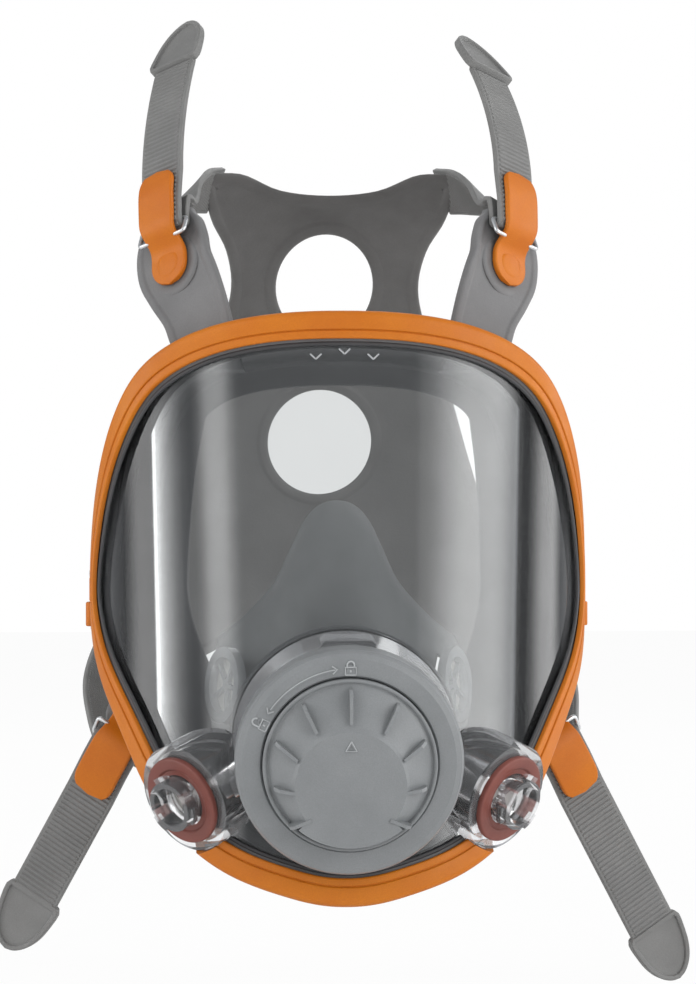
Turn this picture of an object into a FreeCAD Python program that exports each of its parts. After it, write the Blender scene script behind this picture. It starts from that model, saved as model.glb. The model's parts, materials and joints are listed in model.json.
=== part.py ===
"""Full face respirator: clear visor in a two-part frame, rubber face seal, twist-cap exhalation port,
two bayonet filter ports, nose cup, and a head harness drawn up by four strap buckles.

Millimetres. +Z up, the visor faces -Y, X = 0 is the plane of symmetry and Z = 0 is the side seam of the
frame. "left" is the -X side. Pieces of the right side are built first and mirrored.
"""
import FreeCAD
import Part
import math
import os

V = FreeCAD.Vector

# ---- visor surface: a superellipse in plan, leaning forward towards the chin ----
VISOR_HALF_WIDTH = 82.6
VISOR_DEPTH = 58.0            # at Z = 0
VISOR_LEAN = 0.077            # extra depth for each millimetre downwards
VISOR_POWER = 2.3
LENS_THICK = 2.4

# ---- outer edge of the frame on that surface: (plan angle in degrees, height), top centre to bottom ----
RIM = [(0, 98.4), (37.7, 89.5), (53.6, 78.0), (64.0, 64.2), (71.8, 50.0), (81.5, 26.0), (85.5, 0.0),
       (75.5, -21.5), (61.0, -41.2), (50.5, -59.0), (42.6, -71.1), (33.1, -81.6), (23.0, -89.4),
       (11.6, -95.2), (0, -98.6)]
SEAM = 6                      # index of the side seam in RIM
SEAM_GAP = 0.2

# ---- cross-section of the frame: (inwards from its outer edge, height over the visor surface) ----
FRAME_SECTION = [(-9.5, 1.7), (-9.5, 2.8), (-8.9, 3.3), (-6.9, 3.3), (-6.5, 3.6), (-1.3, 3.6), (-0.4, 3.1),
                 (0.0, 2.2), (0.0, -6.1), (-0.7, -6.8), (-8.2, -6.8), (-8.2, -5.3), (-1.9, -5.3),
                 (-1.9, 1.7)]
LENS_INSET = 4.2              # lens edge inside the frame's outer edge

# ---- lugs and screws that draw the two frame halves together at the side seam ----
LUG_X = (79.0, 87.4)
LUG_Y = (-6.6, 1.6)
LUG_HEIGHT = 8.5
SCREW_X = 83.2
SCREW_Y = -2.2
SCREW_RADIUS = 1.5
SCREW_HEAD = 2.6
NUT_RADIUS = 3.0

# ---- face seal skirt ----
SKIRT_LENGTH_TOP = 27.0
SKIRT_LENGTH_SIDE = 40.0
SKIRT_LENGTH_CHIN = 44.0
LIP_WIDTH = 20.0
LIP_EASE_TOP = 0.36           # the lip narrows by this share towards the forehead
# skirt and lip lines behind the knee: (share of the skirt's depth, extra depth, distance inwards)
SKIRT_OUTER = [(0.0, 2.0, -1.2), (0.30, 0.0, -0.9), (0.65, 0.0, 0.0), (0.90, 0.0, 1.8), (1.0, 0.9, 5.0),
               (1.0, 1.2, 9.0), (1.0, -0.2, 14.0), (1.0, -3.6, LIP_WIDTH + 0.5)]
SKIRT_INNER = [(1.0, -4.5, LIP_WIDTH - 0.2), (1.0, -2.0, 13.4), (1.0, -1.2, 8.8), (1.0, -2.2, 5.8),
               (0.88, 0.0, 4.1), (0.65, 0.0, 2.4), (0.30, 0.0, 1.5), (0.0, 2.0, 1.2)]
KNEE = (-10.2, -9.6)          # where the skirt leaves the rim channel
EAR_THICK = 3.0
# upper ear: (x, y, z, yaw of its face in degrees, half width)
EAR_STATIONS = [(43.5, -31.5, 79, 22, 11.5), (46.5, -31.8, 88, 25, 12.0), (49.0, -28.8, 97, 31, 12.5),
                (53.2, -22.6, 107, 38, 14.5), (56.5, -17.0, 115.3, 42, 15.5), (57.2, -13.8, 123, 42, 15.0),
                (56.8, -12.0, 129, 42, 12.5), (56.2, -10.8, 133, 42, 8.0)]
LOWER_EAR = [(11, -6), (11, 6), (9, 11), (4, 14), (-4, 14), (-9, 11), (-11, 6), (-11, -5), (-8, -10), (4, -10)]
EAR_CLEAR_RADIUS = 13.0       # flat seat round each stud, where the buckle's foot turns

# ---- exhalation port in the middle ----
PORT_CENTRE = V(0, -86, -50)  # middle of the cover ring's front plane
PORT_TILT = 8.0               # degrees below the horizontal
RING_RADIUS = 37.2
RING_BORE = 28.6
CAP_RADIUS = 28.2
CAP_HEIGHT = 7.5
CAP_FACE_RADIUS = 18.0
CAP_FACE_DROP = 5.8           # the flat face sits below the cap's axis
CAP_UNLOCK_TURN = 65.0
FIN_FOCUS = -11.0             # the fins point at this place below the cap's axis
FIN_ANGLES = [0, 26, -26, 51.5, -51.5, 80.5, -80.5]
END_FIN_ANGLE = 114.0
OUTLET_HALF_ANGLE = 40.0
NECK_RADIUS = 36.0
NECK_FRONT = -9.0
NECK_BACK = -36.0
ADAPTER_BORE = 26.0
ADAPTER_RADIUS = 31.0

# ---- bayonet filter ports ----
FILTER_PORT = V(53.3, -59.5, -63.3)
FILTER_NORMAL = V(0.68, -0.656, -0.33)
BOSS_RADIUS = 18.5
FILTER_BORE = 6.8
FILTER_BORE_END = -1.0         # below this the bore widens round the valve seat's spokes
FILTER_SEAT_BORE = 7.3
TUBE_RADIUS = 8.6
TUBE_HEIGHT = 7.5
LUG_RADIUS = 10.4
GASKET_RADIUS = 15.0

# ---- nose cup: stations back to the face: (y, top, bottom, half width, height of the widest place) ----
CUP_THICK = 2.0
CUP_STATIONS = [(-38.5, -18.5, -77.5, 29.0, -48.0), (-32.0, -6.0, -78.0, 36.5, -47.0),
                (-20.0, 14.0, -66.5, 44.0, -40.0), (-8.0, 29.0, -61.5, 42.5, -20.0),
                (2.0, 35.0, -59.0, 42.0, -14.0)]
CHECK_VALVE_PLACE = V(39.5, -23.0, -28.0)
CHECK_VALVE_NORMAL = V(0.90, -0.42, 0.08)

# ---- buckles and straps: (stud place, length axis, face normal) of the right-hand side ----
UPPER_STUD = V(57.5, -18.0, 115.7)
UPPER_ALONG = V(0.03, 0.357, 0.933)
UPPER_FACE = V(0.669, -0.694, 0.266)
LOWER_STUD = V(69.0, -4.0, -38.0)
LOWER_ALONG = V(0.4635, 0.221, -0.858)
LOWER_FACE = V(0.352, -0.935, -0.05)
BUCKLE_RADIUS = 7.6
PLATE_END = 33.0              # free end of the plate from the stud
PLATE_LOW = 6.7
PLATE_THICK = 2.0
STUD_RADIUS = 2.4
WIRE_RADIUS = 0.8
BAIL_PIVOT_ALONG = 8.2
BAIL_PIVOT_FACE = 5.25
FOLD_ALONG = 14.0             # the strap folds round the bail's crossbar here
FOLD_FACE = 3.4
STRAP_WIDTH = 18.0
STRAP_THICK = 2.0
TAB_WIDTH = 21.8
TAB_LENGTH = 23.0
# free tail beyond the plate: length, curl in degrees
TAILS = {
    "upper_left": (69.0, 24.0), "upper_right": (68.0, 34.0),
    "lower_left": (67.0, 0.0), "lower_right": (80.0, 0.0),
}

# the arm's first stretch behind the fold, as (along, drop): almost straight above, turned back in an arc below
ARM_TURN_RADIUS = 3.2
LEADS = {
    "upper": [(0, 0), (4.0, 0.1), (8.0, 0.6)],
    "lower": [(ARM_TURN_RADIUS * math.sin(math.radians(a)), ARM_TURN_RADIUS * (1 - math.cos(math.radians(a))))
              for a in range(0, 76, 15)],
}
# the arm's way on to the harness, and the direction of its width there
ARM_ENDS = {
    "upper": ([V(56.3, 3.0, 137.0), V(53.0, 24.0, 143.0), V(47.5, 45.0, 147.0), V(42.3, 60.5, 148.8)],
              V(0.10, 0.77, -0.63)),
    "lower": ([V(79.5, 24.0, -46.0), V(83.0, 52.0, -35.0), V(81.5, 88.0, -23.0), V(75.6, 120.0, -14.5)],
              V(-0.10, 0.10, -0.99)),
}
ARM_STEPS = 14
ARM_GAP = 0.4                 # clear space between an arm's end and the harness

# ---- head harness: a sheet bent to the back of a head ----
HARNESS_THICK = 2.4
HARNESS_BEND = 95.0
HARNESS_BACK = [(168, 40), (150, 63), (130, 88), (110, 108), (85, 128), (55, 146), (25, 155), (0, 157),
                (-30, 152), (-50, 145)]
HARNESS_OUTLINE = [(0, 147.5), (18, 149.0), (33, 154.0), (45.5, 151.5), (43.5, 139.0), (37.5, 128.0),
                   (35.5, 115.0), (39.5, 100.0), (49.0, 78.0), (58.5, 48.0), (68.0, 18.0), (74.5, 2.0),
                   (76.0, -14.0), (74.0, -30.0), (55.0, -30.0), (30.0, -20.0), (0, -16.0)]
UPPER_HOLE = (116.0, 18.4)
LOWER_HOLE = (57.5, 20.3)

parts = {}


# ---------------------------------------------------------------- helpers
def unit(v):
    return v * (1.0 / v.Length)


def power(value, exponent):
    return math.copysign(abs(value) ** exponent, value)


def closed_polygon(points):
    return Part.makePolygon(list(points) + [points[0]])


def closed_spline(points):
    curve = Part.BSplineCurve()
    curve.interpolate(Points=points, PeriodicFlag=True)
    return Part.Wire([curve.toShape()])


def open_spline(points):
    curve = Part.BSplineCurve()
    curve.interpolate(Points=points)
    return curve.toShape()


def loft(wires, ruled=False):
    return Part.makeLoft(wires, True, ruled)


class Spot:
    """A local frame: origin, side, along and face axes."""

    def __init__(self, origin, along, face):
        self.origin = origin
        self.face = unit(face)
        self.along = unit(along - self.face * along.dot(self.face))
        self.side = self.along.cross(self.face)

    def point(self, side, along, face):
        return self.origin + self.side * side + self.along * along + self.face * face

    def place(self, shape):
        """Moves a shape built with side on X, along on Y and face on Z."""
        s, a, f, o = self.side, self.along, self.face, self.origin
        matrix = FreeCAD.Matrix(s.x, a.x, f.x, o.x, s.y, a.y, f.y, o.y, s.z, a.z, f.z, o.z, 0, 0, 0, 1)
        moved = shape.copy()
        moved.Placement = FreeCAD.Placement(matrix).multiply(moved.Placement)
        return moved


PORT = Spot(PORT_CENTRE, V(0, -math.sin(math.radians(PORT_TILT)), math.cos(math.radians(PORT_TILT))),
            V(0, -math.cos(math.radians(PORT_TILT)), -math.sin(math.radians(PORT_TILT))))
FILTER = Spot(FILTER_PORT, V(0.3, 0, 1), FILTER_NORMAL)
CHECK_VALVE = Spot(CHECK_VALVE_PLACE, V(0, 0, 1), CHECK_VALVE_NORMAL)
UPPER = Spot(UPPER_STUD, UPPER_ALONG, UPPER_FACE)
LOWER = Spot(LOWER_STUD, LOWER_ALONG, LOWER_FACE)


def disc(radius, low, high, centre=(0, 0)):
    return Part.makeCylinder(radius, high - low, V(centre[0], centre[1], low))


def ring(outer, inner, low, high):
    return disc(outer, low, high).cut(disc(inner, low - 1, high + 1))


def turned(profile):
    """A solid of revolution about Z from (radius, height) points."""
    face = Part.Face(closed_polygon([V(r, 0, h) for r, h in profile]))
    return face.revolve(V(0, 0, 0), V(0, 0, 1), 360)


def prism(points, low, high):
    face = Part.Face(closed_polygon([V(x, y, low) for x, y in points]))
    return face.extrude(V(0, 0, high - low))


def mirrored(shape):
    return shape.mirror(V(0, 0, 0), V(1, 0, 0))


def sector(radius, half_angle, low, high, middle=-90.0, steps=24):
    """A pie slice about Z, centred on the middle angle."""
    angles = [middle - half_angle + 2 * half_angle * i / steps for i in range(steps + 1)]
    rim = [(radius * math.cos(math.radians(a)), radius * math.sin(math.radians(a))) for a in angles]
    return prism([(0, 0)] + rim, low, high)


# ---------------------------------------------------------------- visor surface and rim
def visor_depth(z):
    return VISOR_DEPTH - VISOR_LEAN * z


def visor_point(angle, z, inward=0.0):
    a = math.radians(angle)
    x = (VISOR_HALF_WIDTH - inward) * power(math.sin(a), 2 / VISOR_POWER)
    y = -(visor_depth(z) - inward) * power(math.cos(a), 2 / VISOR_POWER)
    return V(x, y, z)


def visor_normal(p):
    depth = visor_depth(p.z)
    side = power(p.x / VISOR_HALF_WIDTH, VISOR_POWER - 1) / VISOR_HALF_WIDTH
    front = (abs(p.y) / depth) ** (VISOR_POWER - 1) / depth
    return unit(V(side, -front, front * VISOR_LEAN * abs(p.y) / depth))


def rim_curve():
    """The whole rim as a closed curve in the (plan angle, height) plane, from the top centre."""
    left = [(-a, z) for a, z in RIM[-2:0:-1]]
    curve = Part.BSplineCurve()
    curve.interpolate(Points=[V(a, z, 0) for a, z in RIM + left], PeriodicFlag=True)
    return curve


def rim_samples(which, count):
    """(angle, height) places along the right half, above or below the side seam."""
    curve = rim_curve()
    seam = curve.parameter(V(RIM[SEAM][0], 0, 0))
    step = SEAM_GAP / 2 / curve.getD1(seam)[1].Length
    if which == "upper":
        edge = curve.toShape(curve.FirstParameter, seam - step)
    else:
        edge = curve.toShape(seam + step, curve.parameter(V(0, RIM[-1][1], 0)))
    return [(p.x, p.y) for p in edge.discretize(Number=count)]


def rim_frame(places, index, wrap):
    """Place, outward in-surface direction and surface normal at one rim sample."""
    count = len(places)
    before = places[(index - 1) % count] if wrap else places[max(index - 1, 0)]
    after = places[(index + 1) % count] if wrap else places[min(index + 1, count - 1)]
    p = visor_point(*places[index])
    tangent = unit(visor_point(*after) - visor_point(*before))
    normal = visor_normal(p)
    normal = unit(normal - tangent * normal.dot(tangent))
    outward = tangent.cross(normal)
    centre_way = V(p.x, 0, p.z)
    if outward.dot(centre_way) < 0:
        outward = outward * -1
    return p, outward, normal


def rim_path(part_of_rim, count):
    """Samples over one frame half (seam to seam) or the whole rim."""
    upper = rim_samples("upper", count)
    lower = rim_samples("lower", count)
    if part_of_rim == "upper":
        right = upper[::-1]
    elif part_of_rim == "lower":
        right = lower
    else:
        right = upper[:-1] + [(RIM[SEAM][0], 0.0)] + lower[1:]
        left = [(-a, z) for a, z in right[-2:0:-1]]
        return right + left
    return right + [(-a, z) for a, z in right[-2::-1]]


def rim_section(spot, polygon):
    p, outward, normal = spot
    return closed_polygon([p + outward * b + normal * n for b, n in polygon])


# ---------------------------------------------------------------- frame halves
def frame_half(which):
    places = rim_path(which, 17)
    wires = []
    for i in range(len(places)):
        p, outward, normal = rim_frame(places, i, False)
        if i in (0, len(places) - 1):
            # the seam faces are level
            outward = unit(V(outward.x, outward.y, 0))
            normal = unit(V(normal.x, normal.y, 0))
        wires.append(rim_section((p, outward, normal), FRAME_SECTION))
    return loft(wires)


def seam_lug(low, high, inset):
    x0, x1 = LUG_X[0], LUG_X[1] - inset
    lug = prism([(x0, LUG_Y[0]), (x1 - 1.5, LUG_Y[0]), (x1, LUG_Y[0] + 1.5), (x1, LUG_Y[1] - 2.0),
                 (x1 - 2.0, LUG_Y[1]), (x0 + 1.0, LUG_Y[1]), (x0, LUG_Y[1] - 1.0)], low, high)
    return lug.cut(disc(SCREW_RADIUS + 0.2, low - 1, high + 1, (SCREW_X, SCREW_Y)))


def make_frame():
    upper = frame_half("upper")
    lower = frame_half("lower")
    gap = SEAM_GAP / 2
    upper_lug = seam_lug(gap, LUG_HEIGHT, 1.2)
    lower_lug = seam_lug(-LUG_HEIGHT, -gap, 0.0)
    upper = upper.fuse([upper_lug, mirrored(upper_lug)])
    lower = lower.fuse([lower_lug, mirrored(lower_lug)])
    hole = disc(SCREW_RADIUS + 0.2, -LUG_HEIGHT, LUG_HEIGHT, (SCREW_X, SCREW_Y))
    both = hole.fuse(mirrored(hole))
    head = disc(SCREW_HEAD + 0.2, -LUG_HEIGHT - 3, -LUG_HEIGHT + 1.2, (SCREW_X, SCREW_Y))
    parts["frame_upper"] = upper.cut(both)
    parts["frame_lower"] = lower.cut([both, head, mirrored(head), port_clearance()])
    screw = disc(SCREW_RADIUS, -LUG_HEIGHT + 0.5, LUG_HEIGHT + 2.6, (SCREW_X, SCREW_Y))
    screw = screw.fuse(disc(SCREW_HEAD, -LUG_HEIGHT - 1.0, -LUG_HEIGHT + 1.1, (SCREW_X, SCREW_Y)))
    slot = Part.makeBox(4.0, 0.8, 0.8, V(SCREW_X - 2.0, SCREW_Y - 0.4, -LUG_HEIGHT - 1.0))
    screw = screw.cut(slot)
    parts["frame_screws"] = Part.makeCompound([screw, mirrored(screw)])
    corners = [(SCREW_X + NUT_RADIUS * math.cos(math.radians(60 * i)),
                SCREW_Y + NUT_RADIUS * math.sin(math.radians(60 * i))) for i in range(6)]
    nut = prism(corners, LUG_HEIGHT + 0.05, LUG_HEIGHT + 2.3)
    nut = nut.cut(disc(SCREW_RADIUS + 0.05, 0, 20, (SCREW_X, SCREW_Y)))
    parts["frame_nuts"] = Part.makeCompound([nut, mirrored(nut)])


# ---------------------------------------------------------------- visor lens
def visor_section(z, inward):
    angles = [88.0 * (i / 14.0) for i in range(-14, 15)]
    return [visor_point(a, z, inward) for a in angles]


def visor_shell():
    wires = []
    for z in (-118.0, 118.0):
        outer = visor_section(z, 0.0)
        inner = visor_section(z, LENS_THICK)
        edges = [open_spline(outer), Part.makeLine(outer[-1], inner[-1]), open_spline(inner[::-1]),
                 Part.makeLine(inner[0], outer[0])]
        wires.append(Part.Wire(edges))
    return loft(wires, ruled=True)


def rim_cutter(inset):
    """A solid whose wall follows the rim, square to the visor, at one inset."""
    places = rim_path("whole", 17)
    reach = 8.0
    over, under = [], []
    for i in range(len(places)):
        p, outward, normal = rim_frame(places, i, True)
        base = p - outward * inset
        over.append(base + normal * reach)
        under.append(base - normal * reach)
    front = [V(p.x, -170, p.z) for p in over]
    back = [V(p.x, 60, p.z) for p in under]
    return loft([closed_spline(w) for w in (front, over, under, back)], ruled=True)


def spider(bore, post, low, high, spokes):
    """A valve seat's spokes and hub across a bore."""
    hub = disc(post, low, high)
    bars = [hub]
    for i in range(spokes):
        bar = Part.makeBox(bore + 0.4, 1.4, high - low, V(0, -0.7, low))
        bar.rotate(V(0, 0, 0), V(0, 0, 1), 360.0 * i / spokes + 45)
        bars.append(bar)
    return bars[0].fuse(bars[1:])


def port_clearance():
    """Room in the frame and the seal: round both bosses outside the visor, and behind them for the valves."""
    boss = FILTER.place(disc(BOSS_RADIUS + 0.25, -19, 12)).cut(visor_interior(LENS_THICK + 0.3))
    passage = FILTER.place(disc(LUG_RADIUS, -12, 0))
    right = boss.fuse(passage)
    return right.fuse(mirrored(right))


def filter_fitting():
    """The moulded bayonet tube, its lugs and the valve seat, about the port axis."""
    tube = disc(TUBE_RADIUS, -2.4, TUBE_HEIGHT)
    lugs = []
    for i in range(3):
        lug = sector(LUG_RADIUS, 17.0, TUBE_HEIGHT - 2.6, TUBE_HEIGHT - 0.6, middle=90.0 + 120.0 * i, steps=6)
        lugs.append(lug)
    fitting = tube.fuse(lugs).cut(disc(FILTER_BORE, -5, TUBE_HEIGHT + 1))
    fitting = fitting.cut(disc(FILTER_SEAT_BORE, -5, FILTER_BORE_END))
    seat = spider(FILTER_SEAT_BORE, 1.8, -2.4, -1.5, 4)
    post = disc(1.0, -6.4, -2.0).fuse(disc(1.6, -6.4, -5.6))
    return fitting.fuse([seat, post])


def make_lens():
    shell = visor_shell()
    boss = FILTER.place(disc(BOSS_RADIUS, -19, 0))
    hollow = FILTER.place(disc(BOSS_RADIUS - 2.4, -24, -2.4))
    interior = visor_interior(LENS_THICK - 0.6)
    bosses = boss.cut(interior)
    lens = shell.common(rim_cutter(LENS_INSET))
    lens = lens.fuse([bosses, mirrored(bosses)])
    lens = lens.cut(hollow.fuse(mirrored(hollow)))
    port_hole = FILTER.place(disc(TUBE_RADIUS - 0.4, -5, 1))
    fitting = FILTER.place(filter_fitting())
    lens = lens.cut(port_hole.fuse(mirrored(port_hole)))
    lens = lens.fuse([fitting, mirrored(fitting)])
    neck_out = PORT.place(Part.makeCone(NECK_RADIUS + 2, NECK_RADIUS, NECK_FRONT - NECK_BACK, V(0, 0, NECK_BACK)))
    bore = PORT.place(Part.makeCone(NECK_RADIUS - 0.6, NECK_RADIUS - 2.6, NECK_FRONT - NECK_BACK + 2,
                                    V(0, 0, NECK_BACK - 1)))
    lens = lens.fuse(neck_out).cut(bore)
    boss_top = prism([(-9, 33), (9, 33), (9, 37.0), (7.5, 38.4), (-7.5, 38.4), (-9, 37.0)], -24, -11.5)
    boss_top = PORT.place(boss_top).cut(bore)
    parts["visor_lens"] = lens.fuse(boss_top)


def visor_interior(inward):
    """Everything behind the visor surface, from one depth inwards."""
    wires = []
    for z in (-120.0, 120.0):
        inner = visor_section(z, inward)
        back_left = V(inner[0].x, 60, z)
        back_right = V(inner[-1].x, 60, z)
        edges = [open_spline(inner), Part.makeLine(inner[-1], back_right), Part.makeLine(back_right, back_left),
                 Part.makeLine(back_left, inner[0])]
        wires.append(Part.Wire(edges))
    return loft(wires, ruled=True)


# ---------------------------------------------------------------- face seal
def skirt_length(z):
    """Depth of the skirt, eased from the forehead over the temples to the chin."""
    if z >= 0:
        share = min(z / 90.0, 1.0) ** 2
        return SKIRT_LENGTH_SIDE + (SKIRT_LENGTH_TOP - SKIRT_LENGTH_SIDE) * share
    share = min(-z / 90.0, 1.0) ** 2
    return SKIRT_LENGTH_SIDE + (SKIRT_LENGTH_CHIN - SKIRT_LENGTH_SIDE) * share


def seal_section(places, index):
    """Rim channel round the lens edge, then the skirt running back and the turned-in lip."""
    p, outward, normal = rim_frame(places, index, True)
    run = outward.cross(normal)
    inward = unit(V(-run.z, 0, run.x))
    if inward.dot(V(p.x, 0, p.z)) > 0:
        inward = inward * -1
    reach = skirt_length(p.z)
    back = V(0, 1, 0)
    width = 1.0 - LIP_EASE_TOP * min(max(p.z, 0.0) / 80.0, 1.0) ** 2

    def on_rim(b, n):
        return p + outward * b + normal * n

    knee = on_rim(*KNEE)
    head = [on_rim(b, n) for b, n in ((-12.6, 0.45), (-12.6, 1.2), (-12.2, 1.5), (-2.1, 1.5), (-2.1, -5.1),
                                      (-9.0, -5.1), (-9.0, -8.0))]
    skirt = [knee + back * (reach * share + extra) + inward * (across * width if across > 6 else across)
             for share, extra, across in SKIRT_OUTER + SKIRT_INNER]
    slot = [on_rim(b, n) for b, n in ((-11.4, -9.6), (-11.4, -6.0), (-12.0, -5.6), (-12.0, -5.0),
                                      (-3.8, -2.85), (-3.8, 0.45))]
    return closed_polygon(head + skirt + slot)


def make_seal():
    places = rim_path("whole", 15)
    half = len(places) // 2
    # sections past the plane of symmetry keep the surface smooth across it
    sections = [seal_section(places, i % len(places)) for i in range(-3, half + 4)]
    right = loft(sections).common(Part.makeBox(200, 300, 400, V(0, -150, -200)))
    left = mirrored(right)
    seal = right.fuse(left)
    ear = upper_ear()
    tab = lower_ear()
    seal = seal.fuse([ear, mirrored(ear), tab, mirrored(tab)]).cut(port_clearance())
    for spot in (UPPER, LOWER):
        hole = disc(STUD_RADIUS + 0.15, -9, 5)
        seat = disc(EAR_CLEAR_RADIUS, 0.1, 8)
        back = disc(STUD_RADIUS + 2.5, -EAR_THICK - 5, -EAR_THICK - 0.05)
        strap_way = Part.makeBox(STRAP_WIDTH + 3, 14, 8, V(-STRAP_WIDTH / 2 - 1.5, 11, 0))
        room = spot.place(hole.fuse([seat, back, strap_way]))
        seal = seal.cut([room, mirrored(room)])
    parts["face_seal"] = seal


def upper_ear():
    wires = []
    for i, (x, y, z, yaw, half) in enumerate(EAR_STATIONS):
        centre = V(x, y, z)
        before = V(*EAR_STATIONS[max(i - 1, 0)][:3])
        after = V(*EAR_STATIONS[min(i + 1, len(EAR_STATIONS) - 1)][:3])
        up = unit(after - before)
        face = V(math.sin(math.radians(yaw)), -math.cos(math.radians(yaw)), 0)
        spot = Spot(centre, V(0, up.y, up.z), face + V(0, 0, 0.38 * math.cos(math.radians(yaw))))
        t = EAR_THICK / 2
        wires.append(closed_polygon([spot.point(s, 0, f) for s, f in
                                     ((-half, -t * 0.5), (-half + 1, -t), (half - 1, -t), (half, -t * 0.5),
                                      (half, t * 0.5), (half - 1, t), (-half + 1, t), (-half, t * 0.5))]))
    return loft(wires)


def lower_ear():
    return LOWER.place(prism(LOWER_EAR, -EAR_THICK, -0.05))


# ---------------------------------------------------------------- exhalation port
def fin(angle, inner, outer, height):
    """A grip rib: a thin upright plate along a line through the fins' focus."""
    profile = [(inner, 0.6), (outer, 0.6), (outer, height - 2.6), (outer - 1.8, height - 0.4), (inner, height)]
    face = Part.Face(closed_polygon([V(-0.55, r, h) for r, h in profile]))
    plate = face.extrude(V(1.1, 0, 0))
    plate.rotate(V(0, 0, 0), V(0, 0, 1), -angle)
    plate.translate(V(0, FIN_FOCUS, 0))
    return plate


def rim_distance(angle, radius):
    """How far the circle lies from the fins' focus in one direction (0 is up)."""
    a = math.radians(angle)
    b = FIN_FOCUS * math.cos(a)
    return -b + math.sqrt(b * b - (FIN_FOCUS ** 2 - radius ** 2))


def circle_wire(radius, height, drop=0.0):
    return Part.Wire([Part.makeCircle(radius, V(0, -drop, height))])


def make_cap():
    base = disc(CAP_RADIUS, -4.6, 1.0).fuse(ring(CAP_RADIUS, CAP_RADIUS - 1.2, 0.5, 1.5))
    dome = loft([circle_wire(CAP_RADIUS - 1.6, 0.9), circle_wire(CAP_FACE_RADIUS + 1.0, CAP_HEIGHT - 1.0, 5.6),
                 circle_wire(CAP_FACE_RADIUS, CAP_HEIGHT, CAP_FACE_DROP)], ruled=True)
    hood = sector(26.0, OUTLET_HALF_ANGLE, 4.6, CAP_HEIGHT)
    skirt = ring(25.0, 22.4, -14.0, -4.0)
    cap = base.fuse([dome, hood, skirt])
    cavity = disc(22.4, -15, -1.0)
    hollow = loft([circle_wire(22.4, -1.2), circle_wire(15.5, 5.6, 5.0)], ruled=True)
    outlet = sector(26.6, OUTLET_HALF_ANGLE - 2, -1.2, 4.6)
    window = sector(40, OUTLET_HALF_ANGLE - 2, 1.6, 4.6)
    edge_gap = sector(26.6, OUTLET_HALF_ANGLE - 2, 0, 9).cut(disc(26.0, -1, 10))
    cap = cap.cut([cavity, hollow, outlet, window, edge_gap])
    groove = ring(26, 24.8, -11.2, -9.6)
    cap = cap.cut(groove)
    fins = []
    for angle in FIN_ANGLES:
        outer = rim_distance(angle, 25.6)
        inner = rim_distance(angle, 25.6) - 11.0 + 2.6 * abs(math.sin(math.radians(angle)))
        fins.append(fin(angle, inner, outer, CAP_HEIGHT))
    for angle in (END_FIN_ANGLE, -END_FIN_ANGLE):
        outer = rim_distance(angle, 27.8)
        fins.append(fin(angle, outer - 7.5, outer, CAP_HEIGHT + 0.5))
    cap = cap.fuse(fins)
    cap = cap.cut(disc(21.0, -15, 0.4))
    pointer = prism([(-1.9, 5.8), (1.9, 5.8), (0, 9.2)], CAP_HEIGHT - 0.5, CAP_HEIGHT + 0.35)
    pointer = pointer.cut(prism([(-1.1, 6.25), (1.1, 6.25), (0, 8.3)], CAP_HEIGHT, CAP_HEIGHT + 1))
    cap = cap.fuse(pointer)
    parts["twist_cap"] = PORT.place(cap)
    parts["cap_o_ring"] = PORT.place(Part.makeTorus(25.38, 0.5, V(0, 0, -10.4)))


def make_cover_ring():
    cover = turned([(RING_BORE, -5.2), (RING_BORE, -0.6), (RING_BORE + 0.6, 0), (34.6, -0.3), (36.4, -1.0),
                    (RING_RADIUS, -2.6), (RING_RADIUS, -11.0), (36.3, -11.0), (36.3, -5.2)])
    # closed and open padlock signs and the turn arrow between them
    closed_lock = lock_sign(0.0, 0.0)
    open_lock = lock_sign(CAP_UNLOCK_TURN, 1.0)
    arrow = ring(31.3, 30.9, -0.4, 0.2).common(sector(40, 25, -1, 1, middle=123.5))
    head = prism([(-3.4, 31.1), (-5.4, 32.2), (-5.2, 31.1), (-5.4, 30.0)], -0.4, 0.2)
    parts["cover_ring"] = PORT.place(cover.fuse([closed_lock, open_lock, arrow, head]))


def lock_sign(turn, lift):
    """A small raised padlock, its shackle lifted when open, at one turn on the cover ring."""
    body = Part.makeBox(2.8, 2.3, 0.6, V(-1.4, 29.1, -0.4))
    shackle = ring(1.15, 0.7, -0.4, 0.2)
    shackle.translate(V(lift * 0.5, 31.5 + lift * 0.5, 0))
    shackle = shackle.cut(Part.makeBox(4, 2, 2, V(-2, 29.3 + lift * 0.5, -1)))
    legs = Part.makeBox(0.45, 0.7 + lift * 0.5, 0.6, V(-1.15 + lift * 0.5, 31.2, -0.4))
    sign = body.fuse([shackle, legs])
    if lift == 0:
        sign = sign.fuse(Part.makeBox(0.45, 0.7, 0.6, V(0.7, 31.2, -0.4)))
    sign.rotate(V(0, 0, 0), V(0, 0, 1), turn)
    return sign


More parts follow.
